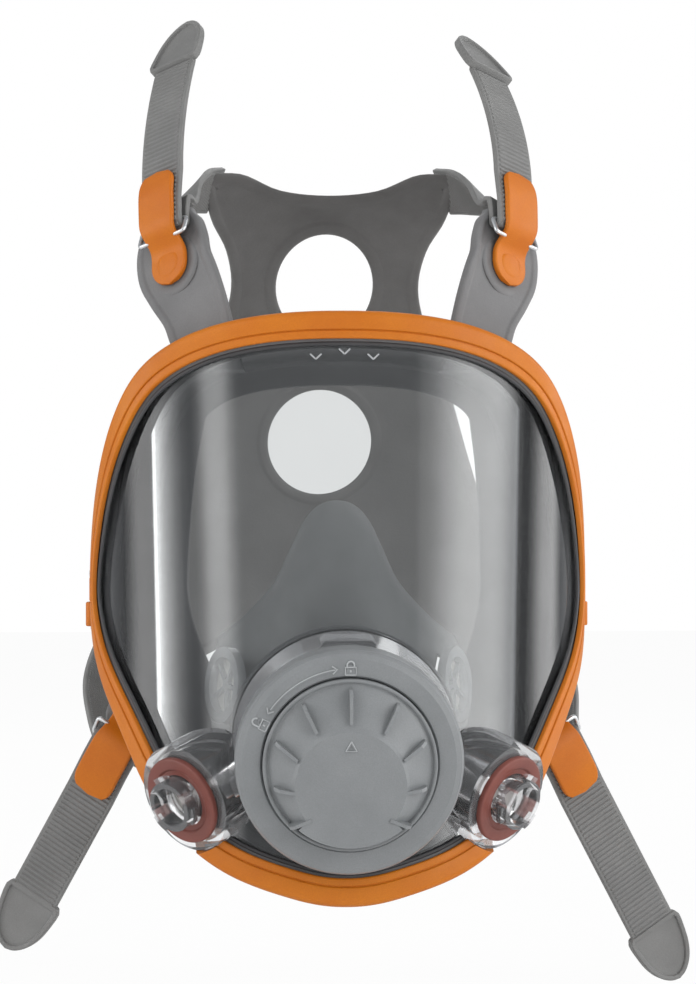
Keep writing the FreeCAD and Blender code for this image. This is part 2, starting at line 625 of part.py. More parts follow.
def make_adapter():
    adapter = ring(ADAPTER_RADIUS, ADAPTER_BORE, -40.0, -5.4).fuse(ring(38.5, ADAPTER_BORE, -40.0, -37.5))
    adapter = adapter.fuse(ring(26.0, 22.0, -52.0, -39.0)).fuse(ring(ADAPTER_RADIUS, 22.0, -40.0, -38.5))
    adapter = adapter.fuse(ring(27.2, 25.0, -51.0, -49.5))
    ledge = ring(26.4, 23.6, -27.0, -24.2)
    adapter = adapter.fuse(ledge)
    parts["centre_adapter"] = PORT.place(adapter)
    parts["adapter_gasket"] = PORT.place(ring(37.8, 31.3, -37.4, -36.1))
    lock = ring(35.9, 31.2, -8.9, -5.5)
    notches = []
    for i in range(6):
        notch = Part.makeBox(4, 3, 6, V(-2, 34.2, -10))
        notch.rotate(V(0, 0, 0), V(0, 0, 1), 60 * i)
        notches.append(notch)
    parts["adapter_lock_ring"] = PORT.place(lock.cut(notches))
    seat = ring(25.7, 19.0, -24.0, -21.6)
    seat = seat.fuse(spider(19.5, 3.2, -24.0, -22.4, 6)).fuse(disc(1.6, -24.0, -18.0))
    seat = seat.fuse(disc(2.4, -18.6, -17.8))
    parts["exhalation_seat"] = PORT.place(seat)
    flap = turned([(1.9, -21.4), (21.0, -21.4), (21.0, -20.8), (4.0, -20.6), (3.4, -19.9), (1.9, -19.9)])
    parts["exhalation_flap"] = PORT.place(flap)


# ---------------------------------------------------------------- filter ports
def make_filter_ports():
    gasket = turned([(TUBE_RADIUS + 0.25, 0.15), (GASKET_RADIUS, 0.15), (GASKET_RADIUS, 1.6),
                     (GASKET_RADIUS - 0.6, 2.2), (TUBE_RADIUS + 0.9, 2.2), (TUBE_RADIUS + 0.25, 1.7)])
    flap = turned([(1.2, -3.2), (FILTER_BORE + 1.2, -3.2), (FILTER_BORE + 1.2, -2.6), (1.2, -2.6)])
    for name, shape in (("port_gasket", gasket), ("inhalation_flap", flap)):
        right = FILTER.place(shape)
        parts[name + "_right"] = right
        parts[name + "_left"] = mirrored(right)


# ---------------------------------------------------------------- nose cup
def cup_wire(y, top, bottom, half, wide, thick):
    """A pear-shaped section: narrow over the nose bridge, round under the chin."""
    points = []
    steps = 24
    for i in range(steps):
        a = 2 * math.pi * i / steps
        s, c = math.sin(a), math.cos(a)
        if c >= 0:
            narrow = 1.0 - 0.52 * (c ** 1.6) * min(max((top - wide) / 70.0, 0.0), 1.0)
            x = (half - thick) * s * narrow
            z = wide + (top - thick - wide) * c
        else:
            x = (half - thick) * power(s, 0.9)
            z = wide + (wide - bottom - thick) * c
        points.append(V(x, y, z))
    return closed_spline(points)


def make_nose_cup():
    outer = loft([cup_wire(*s, 0.0) for s in CUP_STATIONS])
    first, last = CUP_STATIONS[0], CUP_STATIONS[-1]
    inner_stations = [(first[0] - 1,) + first[1:]] + CUP_STATIONS[1:-1] + [(last[0] + 1,) + last[1:]]
    inner = loft([cup_wire(*s, CUP_THICK) for s in inner_stations])
    cup = outer.cut(inner)
    collar = PORT.place(ring(30.0, 26.3, -51.5, -42.0))
    mouth = PORT.place(disc(26.3, -60.0, -38.0))
    flange = PORT.place(disc(45.0, -41.9, -20.0))
    cup = cup.fuse(collar).cut(mouth).cut(flange)
    window = CHECK_VALVE.place(disc(13.4, -9, 9))
    cup = cup.cut([window, mirrored(window)])
    lip_gap = PORT.place(ring(28.0, 24.0, -52.5, -49.2))
    parts["nose_cup"] = cup.cut(lip_gap)
    seat = ring(13.1, 9.5, -1.6, 1.4).fuse(spider(9.8, 2.0, -1.6, -0.2, 5)).fuse(disc(1.0, -5.2, -1.0))
    seat = seat.fuse(disc(1.5, -5.2, -4.5))
    flap = ring(11.4, 1.25, -2.4, -1.8)
    for name, shape in (("nose_cup_seat", seat), ("nose_cup_flap", flap)):
        right = CHECK_VALVE.place(shape)
        parts[name + "_right"] = right
        parts[name + "_left"] = mirrored(right)


# ---------------------------------------------------------------- buckles
def buckle_shape():
    """A bent lever plate: round foot on the ear, ramp, raised plate with a rounded, dipped free end."""
    w = BUCKLE_RADIUS
    foot = disc(w, 0.25, 2.4)
    foot = foot.fuse(prism([(-w, 0), (w, 0), (w, 6.5), (-w, 6.5)], 0.25, 2.4))
    top = PLATE_LOW + PLATE_THICK
    side = [(4.2, 0.25), (6.6, 0.25), (11.2, PLATE_LOW), (26.0, PLATE_LOW), (PLATE_END, PLATE_LOW - 1.2),
            (PLATE_END, top - 1.2), (26.0, top), (10.0, top), (4.2, 2.4)]
    face = Part.Face(closed_polygon([V(-w, a, f) for a, f in side]))
    plate = face.extrude(V(2 * w, 0, 0))
    outline = disc(w, -1, 20, (0, PLATE_END - w)).fuse(Part.makeBox(2 * w, PLATE_END - w + 1, 21, V(-w, -1, -1)))
    plate = plate.common(outline)
    body = foot.fuse(plate)
    pivot = Part.makeCylinder(WIRE_RADIUS + 0.1, 2 * w + 4, V(-w - 2, BAIL_PIVOT_ALONG, BAIL_PIVOT_FACE),
                              V(1, 0, 0))
    body = body.cut(pivot)
    return body.cut(disc(STUD_RADIUS + 0.15, -1, 1.6))


def bail_shape():
    """The wire bail: two ends pivoting in the buckle's ramp, two legs and the crossbar that holds the strap."""
    half = STRAP_WIDTH / 2 + 1.1
    reach = BUCKLE_RADIUS - 1.4
    corners = [V(-reach, BAIL_PIVOT_ALONG, BAIL_PIVOT_FACE), V(-half, BAIL_PIVOT_ALONG, BAIL_PIVOT_FACE),
               V(-half, FOLD_ALONG, FOLD_FACE), V(half, FOLD_ALONG, FOLD_FACE),
               V(half, BAIL_PIVOT_ALONG, BAIL_PIVOT_FACE), V(reach, BAIL_PIVOT_ALONG, BAIL_PIVOT_FACE)]
    pieces = []
    for a, b in zip(corners, corners[1:]):
        pieces.append(Part.makeCylinder(WIRE_RADIUS, (b - a).Length, a, b - a))
        pieces.append(Part.makeSphere(WIRE_RADIUS, b))
    return pieces[0].fuse(pieces[1:-1])


def stud_shape():
    """A headed stud through the ear into the buckle's foot."""
    return disc(STUD_RADIUS, -EAR_THICK - 0.2, 1.5).fuse(disc(STUD_RADIUS + 2.2, -EAR_THICK - 1.8, -EAR_THICK - 0.1))


def make_buckles():
    for level, spot in (("upper", UPPER), ("lower", LOWER)):
        for name, shape in (("buckle", buckle_shape()), ("bail", bail_shape()), ("buckle_stud", stud_shape())):
            right = spot.place(shape)
            parts["%s_%s_right" % (name, level)] = right
            parts["%s_%s_left" % (name, level)] = mirrored(right)


# ---------------------------------------------------------------- straps
def tail_stations(length, curl):
    """(along, face, tilt in degrees) of the strap from its fold, under the plate, to the tab's tip."""
    layer = FOLD_FACE + WIRE_RADIUS + STRAP_THICK / 2 + 0.15
    dip = 1.2                             # the plate's free end dips by as much
    stations = [(FOLD_ALONG, layer, 0.0), (22.0, layer, 0.0), (PLATE_END, layer - dip, 0.0)]
    along, face, steps = PLATE_END, layer - dip, 12
    step = length / steps
    for i in range(steps):
        tilt = math.radians(curl * ((i + 0.5) / steps) ** 0.8)
        along += step * math.cos(tilt)
        face -= step * math.sin(tilt)
        stations.append((along, face, math.degrees(math.radians(curl * ((i + 1) / steps) ** 0.8))))
    return stations


def strap_section(spot, along, face, tilt, width, thick):
    """A rectangular section of the strap in a buckle's frame."""
    a = math.radians(tilt)
    up = (-math.sin(a), -math.cos(a))      # away from the plate: (along, face) turned by the tilt
    half, t = width / 2, thick / 2
    corners = []
    for s, side in ((-half, 1), (half, 1), (half, -1), (-half, -1)):
        corners.append(spot.point(s, along + up[0] * t * side, face + up[1] * t * side))
    return closed_polygon(corners)


def smooth_path(start, points, steps):
    """Places along a curve that leaves the last of the start points and passes through the others."""
    curve = Part.BSplineCurve()
    curve.interpolate(Points=[start[-1]] + points, InitialTangent=start[-1] - start[-2],
                      FinalTangent=points[-1] - points[-2])
    return start[:-1] + curve.discretize(Number=steps)


def ribbon(points, side, last_side, turn_from, width, thick):
    """A strap swept through world points; its width turns from one direction to the other on the way."""
    wires = []
    last = len(points) - 1
    for i, centre in enumerate(points):
        before = points[max(i - 1, 0)]
        after = points[min(i + 1, last)]
        run = unit(after - before)
        share = max(i - turn_from, 0) / (last - turn_from)
        across = side * (1 - share) + last_side * share
        across = unit(across - run * across.dot(run))
        up = across.cross(run)
        wires.append(closed_polygon([centre + across * (width / 2) * a + up * (thick / 2) * b
                                     for a, b in ((-1, 1), (1, 1), (1, -1), (-1, -1))]))
    return loft(wires, ruled=True)


def strap_shape(spot, level, length, curl):
    tail = tail_stations(length, curl)
    wires = [strap_section(spot, *s, STRAP_WIDTH, STRAP_THICK) for s in tail]
    body = loft(wires, ruled=True)
    along, face, tilt = tail[-1]
    body = body.fuse(tab_shape(spot, along, face, tilt))
    # fold round the crossbar
    outer = WIRE_RADIUS + 0.15 + STRAP_THICK
    fold = Part.makeCylinder(outer, STRAP_WIDTH, V(-STRAP_WIDTH / 2, FOLD_ALONG, FOLD_FACE), V(1, 0, 0))
    fold = fold.cut(Part.makeCylinder(WIRE_RADIUS + 0.15, STRAP_WIDTH + 2,
                                      V(-STRAP_WIDTH / 2 - 1, FOLD_ALONG, FOLD_FACE), V(1, 0, 0)))
    fold = fold.cut(Part.makeBox(STRAP_WIDTH + 2, 20, 20, V(-STRAP_WIDTH / 2 - 1, FOLD_ALONG, FOLD_FACE - 10)))
    body = body.fuse(spot.place(fold))
    # arm back to the harness
    layer = FOLD_FACE - WIRE_RADIUS - STRAP_THICK / 2 - 0.15
    lead = [spot.point(0, FOLD_ALONG + along, layer - drop) for along, drop in LEADS[level]]
    points, last_side = ARM_ENDS[level]
    path = smooth_path(lead, points, ARM_STEPS)
    arm = ribbon(path, spot.side, last_side, len(lead) - 1, STRAP_WIDTH, STRAP_THICK)
    body = body.fuse(arm)
    pieces = body.cut(harness_panel(ARM_GAP)).removeSplitter().Solids
    return max(pieces, key=lambda piece: piece.Volume)


def tab_shape(spot, along, face, tilt):
    """The pull tab at the tail's end: an arrow-shaped leaf with a raised rim."""
    half, length, neck = TAB_WIDTH / 2, TAB_LENGTH, STRAP_WIDTH / 2
    outline = [(-neck, -length), (neck, -length), (half, -length + 1.0), (half, -length + 4.0), (9.6, -9.0),
               (6.8, -3.6), (3.2, -0.8), (0, 0), (-3.2, -0.8), (-6.8, -3.6), (-9.6, -9.0), (-half, -length + 4.0),
               (-half, -length + 1.0)]
    tab = prism(outline, -1.5, 1.5)
    tab.rotate(V(0, 0, 0), V(1, 0, 0), -tilt)
    tab.translate(V(0, along, face))
    return spot.place(tab)


def make_straps():
    for level, spot in (("upper", UPPER), ("lower", LOWER)):
        for hand in ("left", "right"):
            length, curl = TAILS["%s_%s" % (level, hand)]
            strap = strap_shape(spot, level, length, curl)
            parts["strap_%s_%s" % (level, hand)] = mirrored(strap) if hand == "left" else strap


# ---------------------------------------------------------------- head harness
def harness_panel(margin):
    """The bent sheet inside its outline, grown by a margin all round."""
    wires = []
    spans = [78.0 * i / 8 for i in range(-8, 9)]
    for z, back in HARNESS_BACK:
        outer = [V(x, back - HARNESS_BEND + math.sqrt(HARNESS_BEND ** 2 - x * x) + margin, z) for x in spans]
        rise = HARNESS_THICK * 1.15 + 2 * margin
        inner = [V(p.x, p.y - rise, p.z) for p in outer]
        wires.append(Part.Wire([open_spline(outer), Part.makeLine(outer[-1], inner[-1]),
                                open_spline(inner[::-1]), Part.makeLine(inner[0], outer[0])]))
    sheet = loft(wires)
    last = len(HARNESS_OUTLINE) - 1
    right = []
    for i, (x, z) in enumerate(HARNESS_OUTLINE):
        before = HARNESS_OUTLINE[i - 1] if i else (-HARNESS_OUTLINE[1][0], HARNESS_OUTLINE[1][1])
        after = HARNESS_OUTLINE[i + 1] if i < last else (-HARNESS_OUTLINE[-2][0], HARNESS_OUTLINE[-2][1])
        run = unit(V(after[0] - before[0], 0, after[1] - before[1]))
        right.append(V(x - run.z * margin, -50, z + run.x * margin))
    left = [V(-p.x, p.y, p.z) for p in right[-2:0:-1]]
    face = Part.Face(closed_spline(right + left))
    panel = sheet.common(face.extrude(V(0, 260, 0)))
    for height, radius in (UPPER_HOLE, LOWER_HOLE):
        panel = panel.cut(Part.makeCylinder(radius, 260, V(0, -50, height), V(0, 1, 0)))
    return panel


def make_harness():
    parts["head_harness"] = harness_panel(0)


make_frame()
make_lens()
make_seal()
make_cap()
make_cover_ring()
make_adapter()
make_filter_ports()
make_nose_cup()
make_buckles()
make_straps()
make_harness()

os.makedirs("parts", exist_ok=True)
for name, shape in parts.items():
    shape.exportStep("parts/%s.step" % name)
    print("%-22s solids %d volume %9.1f valid %s" % (name, len(shape.Solids), shape.Volume, shape.isValid()))
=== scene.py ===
import json
import math
import bmesh
import bpy
import numpy as np
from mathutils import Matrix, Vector
from mathutils.geometry import delaunay_2d_cdt


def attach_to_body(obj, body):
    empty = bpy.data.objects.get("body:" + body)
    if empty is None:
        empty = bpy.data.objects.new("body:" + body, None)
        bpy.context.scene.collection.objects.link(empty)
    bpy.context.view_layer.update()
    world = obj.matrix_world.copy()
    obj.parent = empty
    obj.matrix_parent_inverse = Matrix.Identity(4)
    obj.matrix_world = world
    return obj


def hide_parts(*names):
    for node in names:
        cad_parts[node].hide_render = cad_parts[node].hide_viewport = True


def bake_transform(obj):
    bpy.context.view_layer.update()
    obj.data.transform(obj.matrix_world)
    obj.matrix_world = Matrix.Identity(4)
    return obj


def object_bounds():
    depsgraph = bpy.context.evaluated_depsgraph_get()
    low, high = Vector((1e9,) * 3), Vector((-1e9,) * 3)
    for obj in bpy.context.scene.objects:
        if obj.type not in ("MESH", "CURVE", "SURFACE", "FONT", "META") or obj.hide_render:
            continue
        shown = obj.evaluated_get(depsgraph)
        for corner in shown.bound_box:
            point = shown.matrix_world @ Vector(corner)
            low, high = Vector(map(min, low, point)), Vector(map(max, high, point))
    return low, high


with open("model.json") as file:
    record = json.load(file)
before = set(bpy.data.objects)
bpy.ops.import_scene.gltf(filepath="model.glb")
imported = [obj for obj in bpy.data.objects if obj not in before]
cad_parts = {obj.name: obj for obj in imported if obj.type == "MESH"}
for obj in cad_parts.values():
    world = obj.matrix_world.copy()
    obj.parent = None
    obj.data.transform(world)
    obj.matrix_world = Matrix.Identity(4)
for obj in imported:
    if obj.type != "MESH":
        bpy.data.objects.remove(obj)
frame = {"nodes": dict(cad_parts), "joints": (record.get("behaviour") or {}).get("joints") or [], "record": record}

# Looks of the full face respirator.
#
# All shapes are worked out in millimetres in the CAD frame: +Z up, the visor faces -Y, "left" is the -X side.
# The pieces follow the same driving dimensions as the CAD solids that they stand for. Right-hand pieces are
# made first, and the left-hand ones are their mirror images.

cad_low, cad_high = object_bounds()
MM = 0.001
HANDS = (("left", True), ("right", False))      # and whether a piece is mirrored for it
WHITE = (1.0, 1.0, 1.0, 1.0)
CAD_SHARP = 32.0              # degrees between two faces that meet at a sharp edge
nodes = frame["nodes"]
joints = {j["name"]: j for j in frame["joints"]}


# ---- materials ----
def srgb(colour):
    """A linear colour from 0-255 display values."""
    shares = [value / 255.0 for value in colour]
    return (*[v / 12.92 if v <= 0.04045 else ((v + 0.055) / 1.055) ** 2.4 for v in shares], 1.0)


def darker(colour, share):
    return tuple(share * c for c in colour[:3]) + (1.0,)


class Graph:
    """A small wrapper that adds and links the shader nodes of a material, a world or a light."""

    def __init__(self, owner, output="OutputMaterial"):
        owner.use_nodes = True
        self.owner = owner
        self.tree = owner.node_tree
        self.tree.nodes.clear()
        self.output = self.tree.nodes.new("ShaderNode" + output)

    def add(self, kind, settings=None, **inputs):
        """The outputs of a new shader node. An input goes by its name, or by its number as i0, i1 and on."""
        node = self.tree.nodes.new("ShaderNode" + kind)
        for key, value in (settings or {}).items():
            setattr(node, key, value)
        for key, value in inputs.items():
            socket = node.inputs[int(key[1:])] if key[0] == "i" and key[1:].isdigit() else node.inputs[key]
            if isinstance(value, bpy.types.NodeSocket):
                self.tree.links.new(value, socket)
            else:
                socket.default_value = value
        return node.outputs

    def noise(self, scale, detail=4.0, roughness=0.6, stretch=(1, 1, 1)):
        place = self.add("Mapping", Vector=self.add("TexCoord")["Object"], Scale=stretch)[0]
        return self.add("TexNoise", Vector=place, Scale=scale, Detail=detail, Roughness=roughness)[0]

    def ramp(self, value, low, high, from_low=0.3, from_high=0.7):
        """Maps a value between two numbers."""
        return self.add("MapRange", i0=value, i1=from_low, i2=from_high, i3=low, i4=high)[0]

    def math(self, operation, *values):
        inputs = {"i%d" % number: value for number, value in enumerate(values)}
        return self.add("Math", {"operation": operation}, **inputs)[0]

    def mix(self, share, first, second):
        """A mix of two colours."""
        return self.add("Mix", {"data_type": "RGBA"}, i0=share, i6=first, i7=second)[2]

    def cover(self, share, first, second):
        """A share of the second shader over the first."""
        return self.add("MixShader", i0=share, i1=first, i2=second)[0]

    def bump(self, height, depth, **more):
        return self.add("Bump", Distance=depth, Height=height, **more)[0]

    def finish(self, shader):
        self.tree.links.new(shader, self.output.inputs["Surface"])
        return self.owner


def moulded(name, colour, shade, roughness, grain, depth, sheen=0.0, specular=0.5, coat=0.0):
    """Moulded plastic or rubber: soft colour drift, fine speckle, uneven gloss and a fine moulded grain."""
    g = Graph(bpy.data.materials.new(name))
    drift = g.ramp(g.noise(45.0, 3.0), 0.0, 1.0)
    speckle = g.ramp(g.noise(2600.0, 2.0), 0.0, 0.35)
    shade = srgb(shade)
    base = g.mix(speckle, g.mix(drift, srgb(colour), shade), darker(shade, 0.72))
    gloss = g.ramp(g.noise(160.0, 5.0), roughness - 0.07, roughness + 0.08)
    fine = g.bump(g.noise(grain, 3.0), depth, Strength=1.0)
    wavy = g.bump(g.noise(60.0, 2.0), 0.0004, Strength=0.5, Normal=fine)
    return g.finish(g.add("BsdfPrincipled", **{
        "Base Color": base, "Roughness": gloss, "Normal": wavy, "Sheen Weight": sheen,
        "Specular IOR Level": specular, "Coat Weight": coat, "Coat Roughness": 0.2})[0])


def metal(name, colour, roughness):
    """Drawn steel: fine scratches along the wire and small patches of duller surface."""
    g = Graph(bpy.data.materials.new(name))
    scratch = g.noise(900.0, 6.0, 0.7, (1.0, 1.0, 0.15))
    dull = g.ramp(g.noise(240.0, 4.0), roughness, roughness + 0.2)
    tone = g.mix(g.ramp(scratch, 0.0, 0.5), colour, darker(colour, 0.55))
    return g.finish(g.add("BsdfPrincipled", **{"Base Color": tone, "Roughness": dull, "Metallic": 1.0,
                                               "Normal": g.bump(scratch, 0.00004, Strength=1.0)})[0])


def clear(name, tint, veil, rim, gloss=0.03, edge=0.75, shine=1.15):
    """Clear hard-coated plastic: light passes straight through, and more is reflected at a glancing angle."""
    g = Graph(bpy.data.materials.new(name))
    facing = g.add("LayerWeight", Blend=0.35)["Facing"]
    cloud = g.math("MULTIPLY_ADD", g.math("POWER", facing, 2.5), rim, veil)
    haze = g.ramp(g.noise(38.0, 3.0), 0.0, 0.012)
    glow = g.math("MULTIPLY_ADD", g.add("Fresnel", IOR=1.56)[0], shine, haze)
    rough = g.ramp(g.noise(500.0, 4.0), gloss, gloss + 0.03)
    through = g.add("BsdfTransparent", Color=g.mix(facing, tint, (edge, edge, edge * 1.02, 1.0)))[0]
    milk = g.add("BsdfDiffuse", Color=(0.8, 0.82, 0.85, 1.0))[0]
    mirror = g.add("BsdfGlossy", Color=WHITE, Roughness=rough)[0]
    return g.finish(g.cover(glow, g.cover(cloud, through, milk), mirror))


ORANGE = moulded("orange_frame", (206, 120, 22), (196, 107, 16), 0.44, 1500.0, 0.00006, specular=0.35)
ORANGE_LEVER = moulded("orange_lever", (204, 116, 20), (194, 103, 15), 0.44, 700.0, 0.00003, specular=0.3)
CLEAR = clear("clear_visor", (0.88, 0.89, 0.89, 1.0), 0.013, 0.22)
FITTING = clear("clear_fitting", (0.99, 0.99, 0.99, 1.0), 0.09, 0.45, 0.06, 0.97, 1.1)
MILKY = clear("milky_fitting", (0.86, 0.87, 0.87, 1.0), 0.45, 0.3, 0.1)
SEAL = moulded("grey_seal", (118, 118, 119), (106, 106, 107), 0.55, 1200.0, 0.00005, sheen=0.1)
CUP = moulded("grey_cup", (160, 161, 162), (148, 149, 150), 0.5, 1100.0, 0.00004, sheen=0.1)
HARNESS = moulded("harness_rubber", (112, 111, 110), (98, 97, 96), 0.62, 900.0, 0.00008, sheen=0.1)
STRAP = moulded("strap_rubber", (128, 128, 127), (114, 114, 113), 0.58, 1300.0, 0.00006, sheen=0.1)
SIGN = moulded("sign_plastic", (178, 181, 183), (168, 171, 173), 0.35, 1700.0, 0.00003)
ADAPTER = moulded("adapter_plastic", (150, 152, 154), (138, 140, 142), 0.4, 1500.0, 0.00004)
COVER = moulded("cover_plastic", (135, 138, 140), (125, 128, 130), 0.40, 1700.0, 0.00005, coat=0.05)
# the seal's bead is the same grey rubber as the seal; this darker grey is painted shade for the narrow gap between
# frame and lens
SHADED_BEAD = moulded("bead_painted_shade", (70, 70, 72), (58, 58, 60), 0.5, 1000.0, 0.00004)
DARK = moulded("dark_plastic", (56, 56, 58), (44, 44, 46), 0.45, 1400.0, 0.00005)
BLACK = moulded("black_rubber", (30, 30, 31), (22, 22, 23), 0.5, 1000.0, 0.00004)
VALVE = moulded("valve_rubber", (205, 205, 200), (188, 188, 184), 0.35, 800.0, 0.00003)
GASKET = moulded("brown_gasket", (134, 74, 64), (114, 60, 52), 0.45, 1200.0, 0.00005)
STEEL = metal("steel_wire", (0.78, 0.79, 0.80, 1.0), 0.22)

SLOT_MATERIAL = {"orange_frame": ORANGE, "orange_plastic": ORANGE_LEVER, "clear_visor": CLEAR,
                 "grey_rubber": SEAL, "harness_rubber": HARNESS, "strap_rubber": STRAP, "grey_plastic": COVER,
                 "black_plastic": DARK, "black_rubber": BLACK, "valve_rubber": VALVE, "brown_gasket": GASKET,
                 "steel": STEEL}
NODE_MATERIAL = {"centre_adapter": ADAPTER, "adapter_lock_ring": ADAPTER, "nose_cup": CUP,
                 "nose_cup_seat_left": MILKY, "nose_cup_seat_right": MILKY}


def smooth(mesh, materials, sharp):
    """Gives a mesh its materials, and smooth shading between edges sharper than an angle."""
    mesh.materials.clear()
    for material in materials:
        mesh.materials.append(material)
    mesh.shade_smooth()
    mesh.set_sharp_from_angle(angle=math.radians(sharp))


def dress_cad_nodes():
    """Every carried-over CAD node gets the material of its slot."""
    for part in frame["record"]["subparts"]:
        material = NODE_MATERIAL.get(part["node"], SLOT_MATERIAL[part["material_slot"]])
        smooth(nodes[part["node"]].data, [material], CAD_SHARP)


# ---- geometry helpers ----
def unit(v):
    v = np.asarray(v, float)
    return v / np.linalg.norm(v)


class Spot:
    """A local frame in millimetres: origin, side, along and face axes."""

    def __init__(self, origin, along, face):
        self.origin = np.asarray(origin, float)
        self.face = unit(face)
        along = np.asarray(along, float)
        self.along = unit(along - self.face * along.dot(self.face))
        self.side = np.cross(self.along, self.face)

    def point(self, side, along, face):
        return self.origin + self.side * side + self.along * along + self.face * face


def catmull(points, per_span, closed=False):
    """A smooth curve through points of any dimension."""
    points = [np.asarray(p, float) for p in points]
    if closed:
        ends = points[-1:] + points + points[:2]
    else:
        ends = [2 * points[0] - points[1]] + points + [2 * points[-1] - points[-2]]
    found = []
    for p0, p1, p2, p3 in zip(ends, ends[1:], ends[2:], ends[3:]):
        for k in range(per_span):
            t = k / per_span
            found.append(0.5 * (2 * p1 + (p2 - p0) * t + (2 * p0 - 5 * p1 + 4 * p2 - p3) * t * t
                                + (3 * p1 - p0 - 3 * p2 + p3) * t ** 3))
    return found if closed else found + points[-1:]


def eased(before, corner, after, radius, steps):
    """A short curve that cuts off a corner."""
    before, after = before - corner, after - corner
    trim = min(radius, 0.45 * np.linalg.norm(before), 0.45 * np.linalg.norm(after))
    start, end = corner + unit(before) * trim, corner + unit(after) * trim
    shares = [k / steps for k in range(steps + 1)]
    return [start * (1 - t) ** 2 + 2 * corner * t * (1 - t) + end * t * t for t in shares]


def rounded(outline, radius, steps=3):
    """A closed flat outline with eased corners. Radius is a number, or a list with one per corner."""
    corners = [np.asarray(corner, float) for corner in outline]
    radii = radius if isinstance(radius, list) else [radius] * len(corners)
    found = []
    for i, corner in enumerate(corners):
        found += eased(corners[i - 1], corner, corners[(i + 1) % len(corners)], radii[i], steps)
    return found


def bent(corners, radius, steps=5):
    """An open path with its inner corners eased."""
    corners = [np.asarray(corner, float) for corner in corners]
    path = [corners[0]]
    for i in range(1, len(corners) - 1):
        path += eased(*corners[i - 1:i + 2], radius, steps)
    return path + [corners[-1]]


def inset(outline, distance):
    """A closed flat outline moved inwards, point by point."""
    outline = [np.asarray(p, float) for p in outline]
    count = len(outline)
    area = sum(outline[i - 1][0] * outline[i][1] - outline[i][0] * outline[i - 1][1] for i in range(count))
    shift = math.copysign(1.0, area) * distance
    found = []
    for i in range(count):
        run = unit(outline[(i + 1) % count] - outline[i - 1])
        found.append(outline[i] + np.array((-run[1], run[0])) * shift)
    return found


def both_sides(right):
    """A right-hand outline with its mirror image; places on the middle line are kept once."""
    return right + [(-x, y) for x, y in right[::-1] if x]


def run_at(path, i):
    """The direction of an open path at one of its places."""
    return unit(path[min(i + 1, len(path) - 1)] - path[max(i - 1, 0)])


def measured(path):
    """How far along a path each of its places lies."""
    return np.concatenate([[0], np.cumsum(np.linalg.norm(np.diff(path, axis=0), axis=1))])


def place_at(path, distances, distance):
    return np.array([np.interp(distance, distances, path[:, k]) for k in range(3)])


def make_object(name, points, faces, material, sharp=40.0, mirror=False):
    """A mesh object from points in millimetres, its normals made to face outwards."""
    mesh = bpy.data.meshes.new(name)
    mesh.from_pydata([Vector((-p[0] if mirror else p[0], p[1], p[2])) * MM for p in points], [], faces)
    work = bmesh.new()
    work.from_mesh(mesh)
    bmesh.ops.remove_doubles(work, verts=work.verts, dist=1e-7)
    bmesh.ops.recalc_face_normals(work, faces=work.faces)
    work.to_mesh(mesh)
    work.free()
    smooth(mesh, [material], sharp)
    return add_to_scene(name, mesh)


def add_to_scene(name, data):
    obj = bpy.data.objects.new(name, data)
    bpy.context.collection.objects.link(obj)
    return obj


def attach(obj, body, node=None):
    """Ties a piece to its body, in place of the CAD node that it stands for."""
    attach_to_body(obj, body)
    if node:
        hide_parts(node)


def skin(rings, closed_path=False, caps=True):
    """Points and faces of a tube through rings that all have the same number of points."""
    size, count = len(rings[0]), len(rings)
    faces = []
    for i in range(count if closed_path else count - 1):
        j = (i + 1) % count
        for k in range(size):
            m = (k + 1) % size
            faces.append((i * size + k, i * size + m, j * size + m, j * size + k))
    if caps and not closed_path:
        faces.append(tuple(reversed(range(size))))
        faces.append(tuple((count - 1) * size + k for k in range(size)))
    return [p for ring in rings for p in ring], faces


def circle(radius, steps):
    """Evenly spaced places on a circle round the origin, from its right-hand side."""
    angles = [2 * math.pi * i / steps for i in range(steps)]
    return [(radius * math.cos(a), radius * math.sin(a)) for a in angles]


def turned(profile, steps, spot):
    """A solid of revolution about a spot's face axis, from a closed (radius, height) outline."""
    return skin([[spot.point(r * x, r * y, h) for r, h in profile] for x, y in circle(1.0, steps)], True)


def disc(radius, low, high, steps, spot):
    """A plain cylinder for cutting."""
    return skin([[spot.point(x, y, height) for x, y in circle(radius, steps)] for height in (low, high)])


def layered(spot, outline, layers):
    """A solid whose outline moves inwards by a distance at each height."""
    return skin([[spot.point(x, y, height) for x, y in inset(outline, distance)]
                 for distance, height in layers])


def joined(*parts):
    """Several (points, faces) sets as one."""
    points, faces = [], []
    for more_points, more_faces in parts:
        base = len(points)
        points += list(more_points)
        faces += [tuple(base + i for i in face) for face in more_faces]
    return points, faces


def carve(obj, points, faces, mirror=False):
    """Cuts a closed shape out of an object for good."""
    cutter = make_object("cutter", points, faces, BLACK, mirror=mirror)
    modifier = obj.modifiers.new("cut", "BOOLEAN")
    modifier.operation = "DIFFERENCE"
    modifier.solver = "EXACT"
    modifier.object = cutter
    bpy.context.view_layer.update()
    cut = bpy.data.meshes.new_from_object(obj.evaluated_get(bpy.context.evaluated_depsgraph_get()))
    obj.modifiers.clear()
    spare = (obj.data, cutter.data)
    obj.data = cut
    bpy.data.objects.remove(cutter)
    for mesh in spare:
        bpy.data.meshes.remove(mesh)
    obj.data.set_sharp_from_angle(angle=math.radians(40))


def joint_spot(hinge, along):
    """A local frame at a hinge, which faces along its axis."""
    return Spot(np.array(joints[hinge]["pos_m"]) / MM, along, joints[hinge]["axis"])


PORT = joint_spot("cap_turn", (0, 0, 1))
# the right-hand buckles: at their studs, along the straps' pull
UPPER, LOWER = (joint_spot("buckle_%s_right_swivel" % level, joints["strap_%s_right_pull" % level]["axis"])
                for level in ("upper", "lower"))


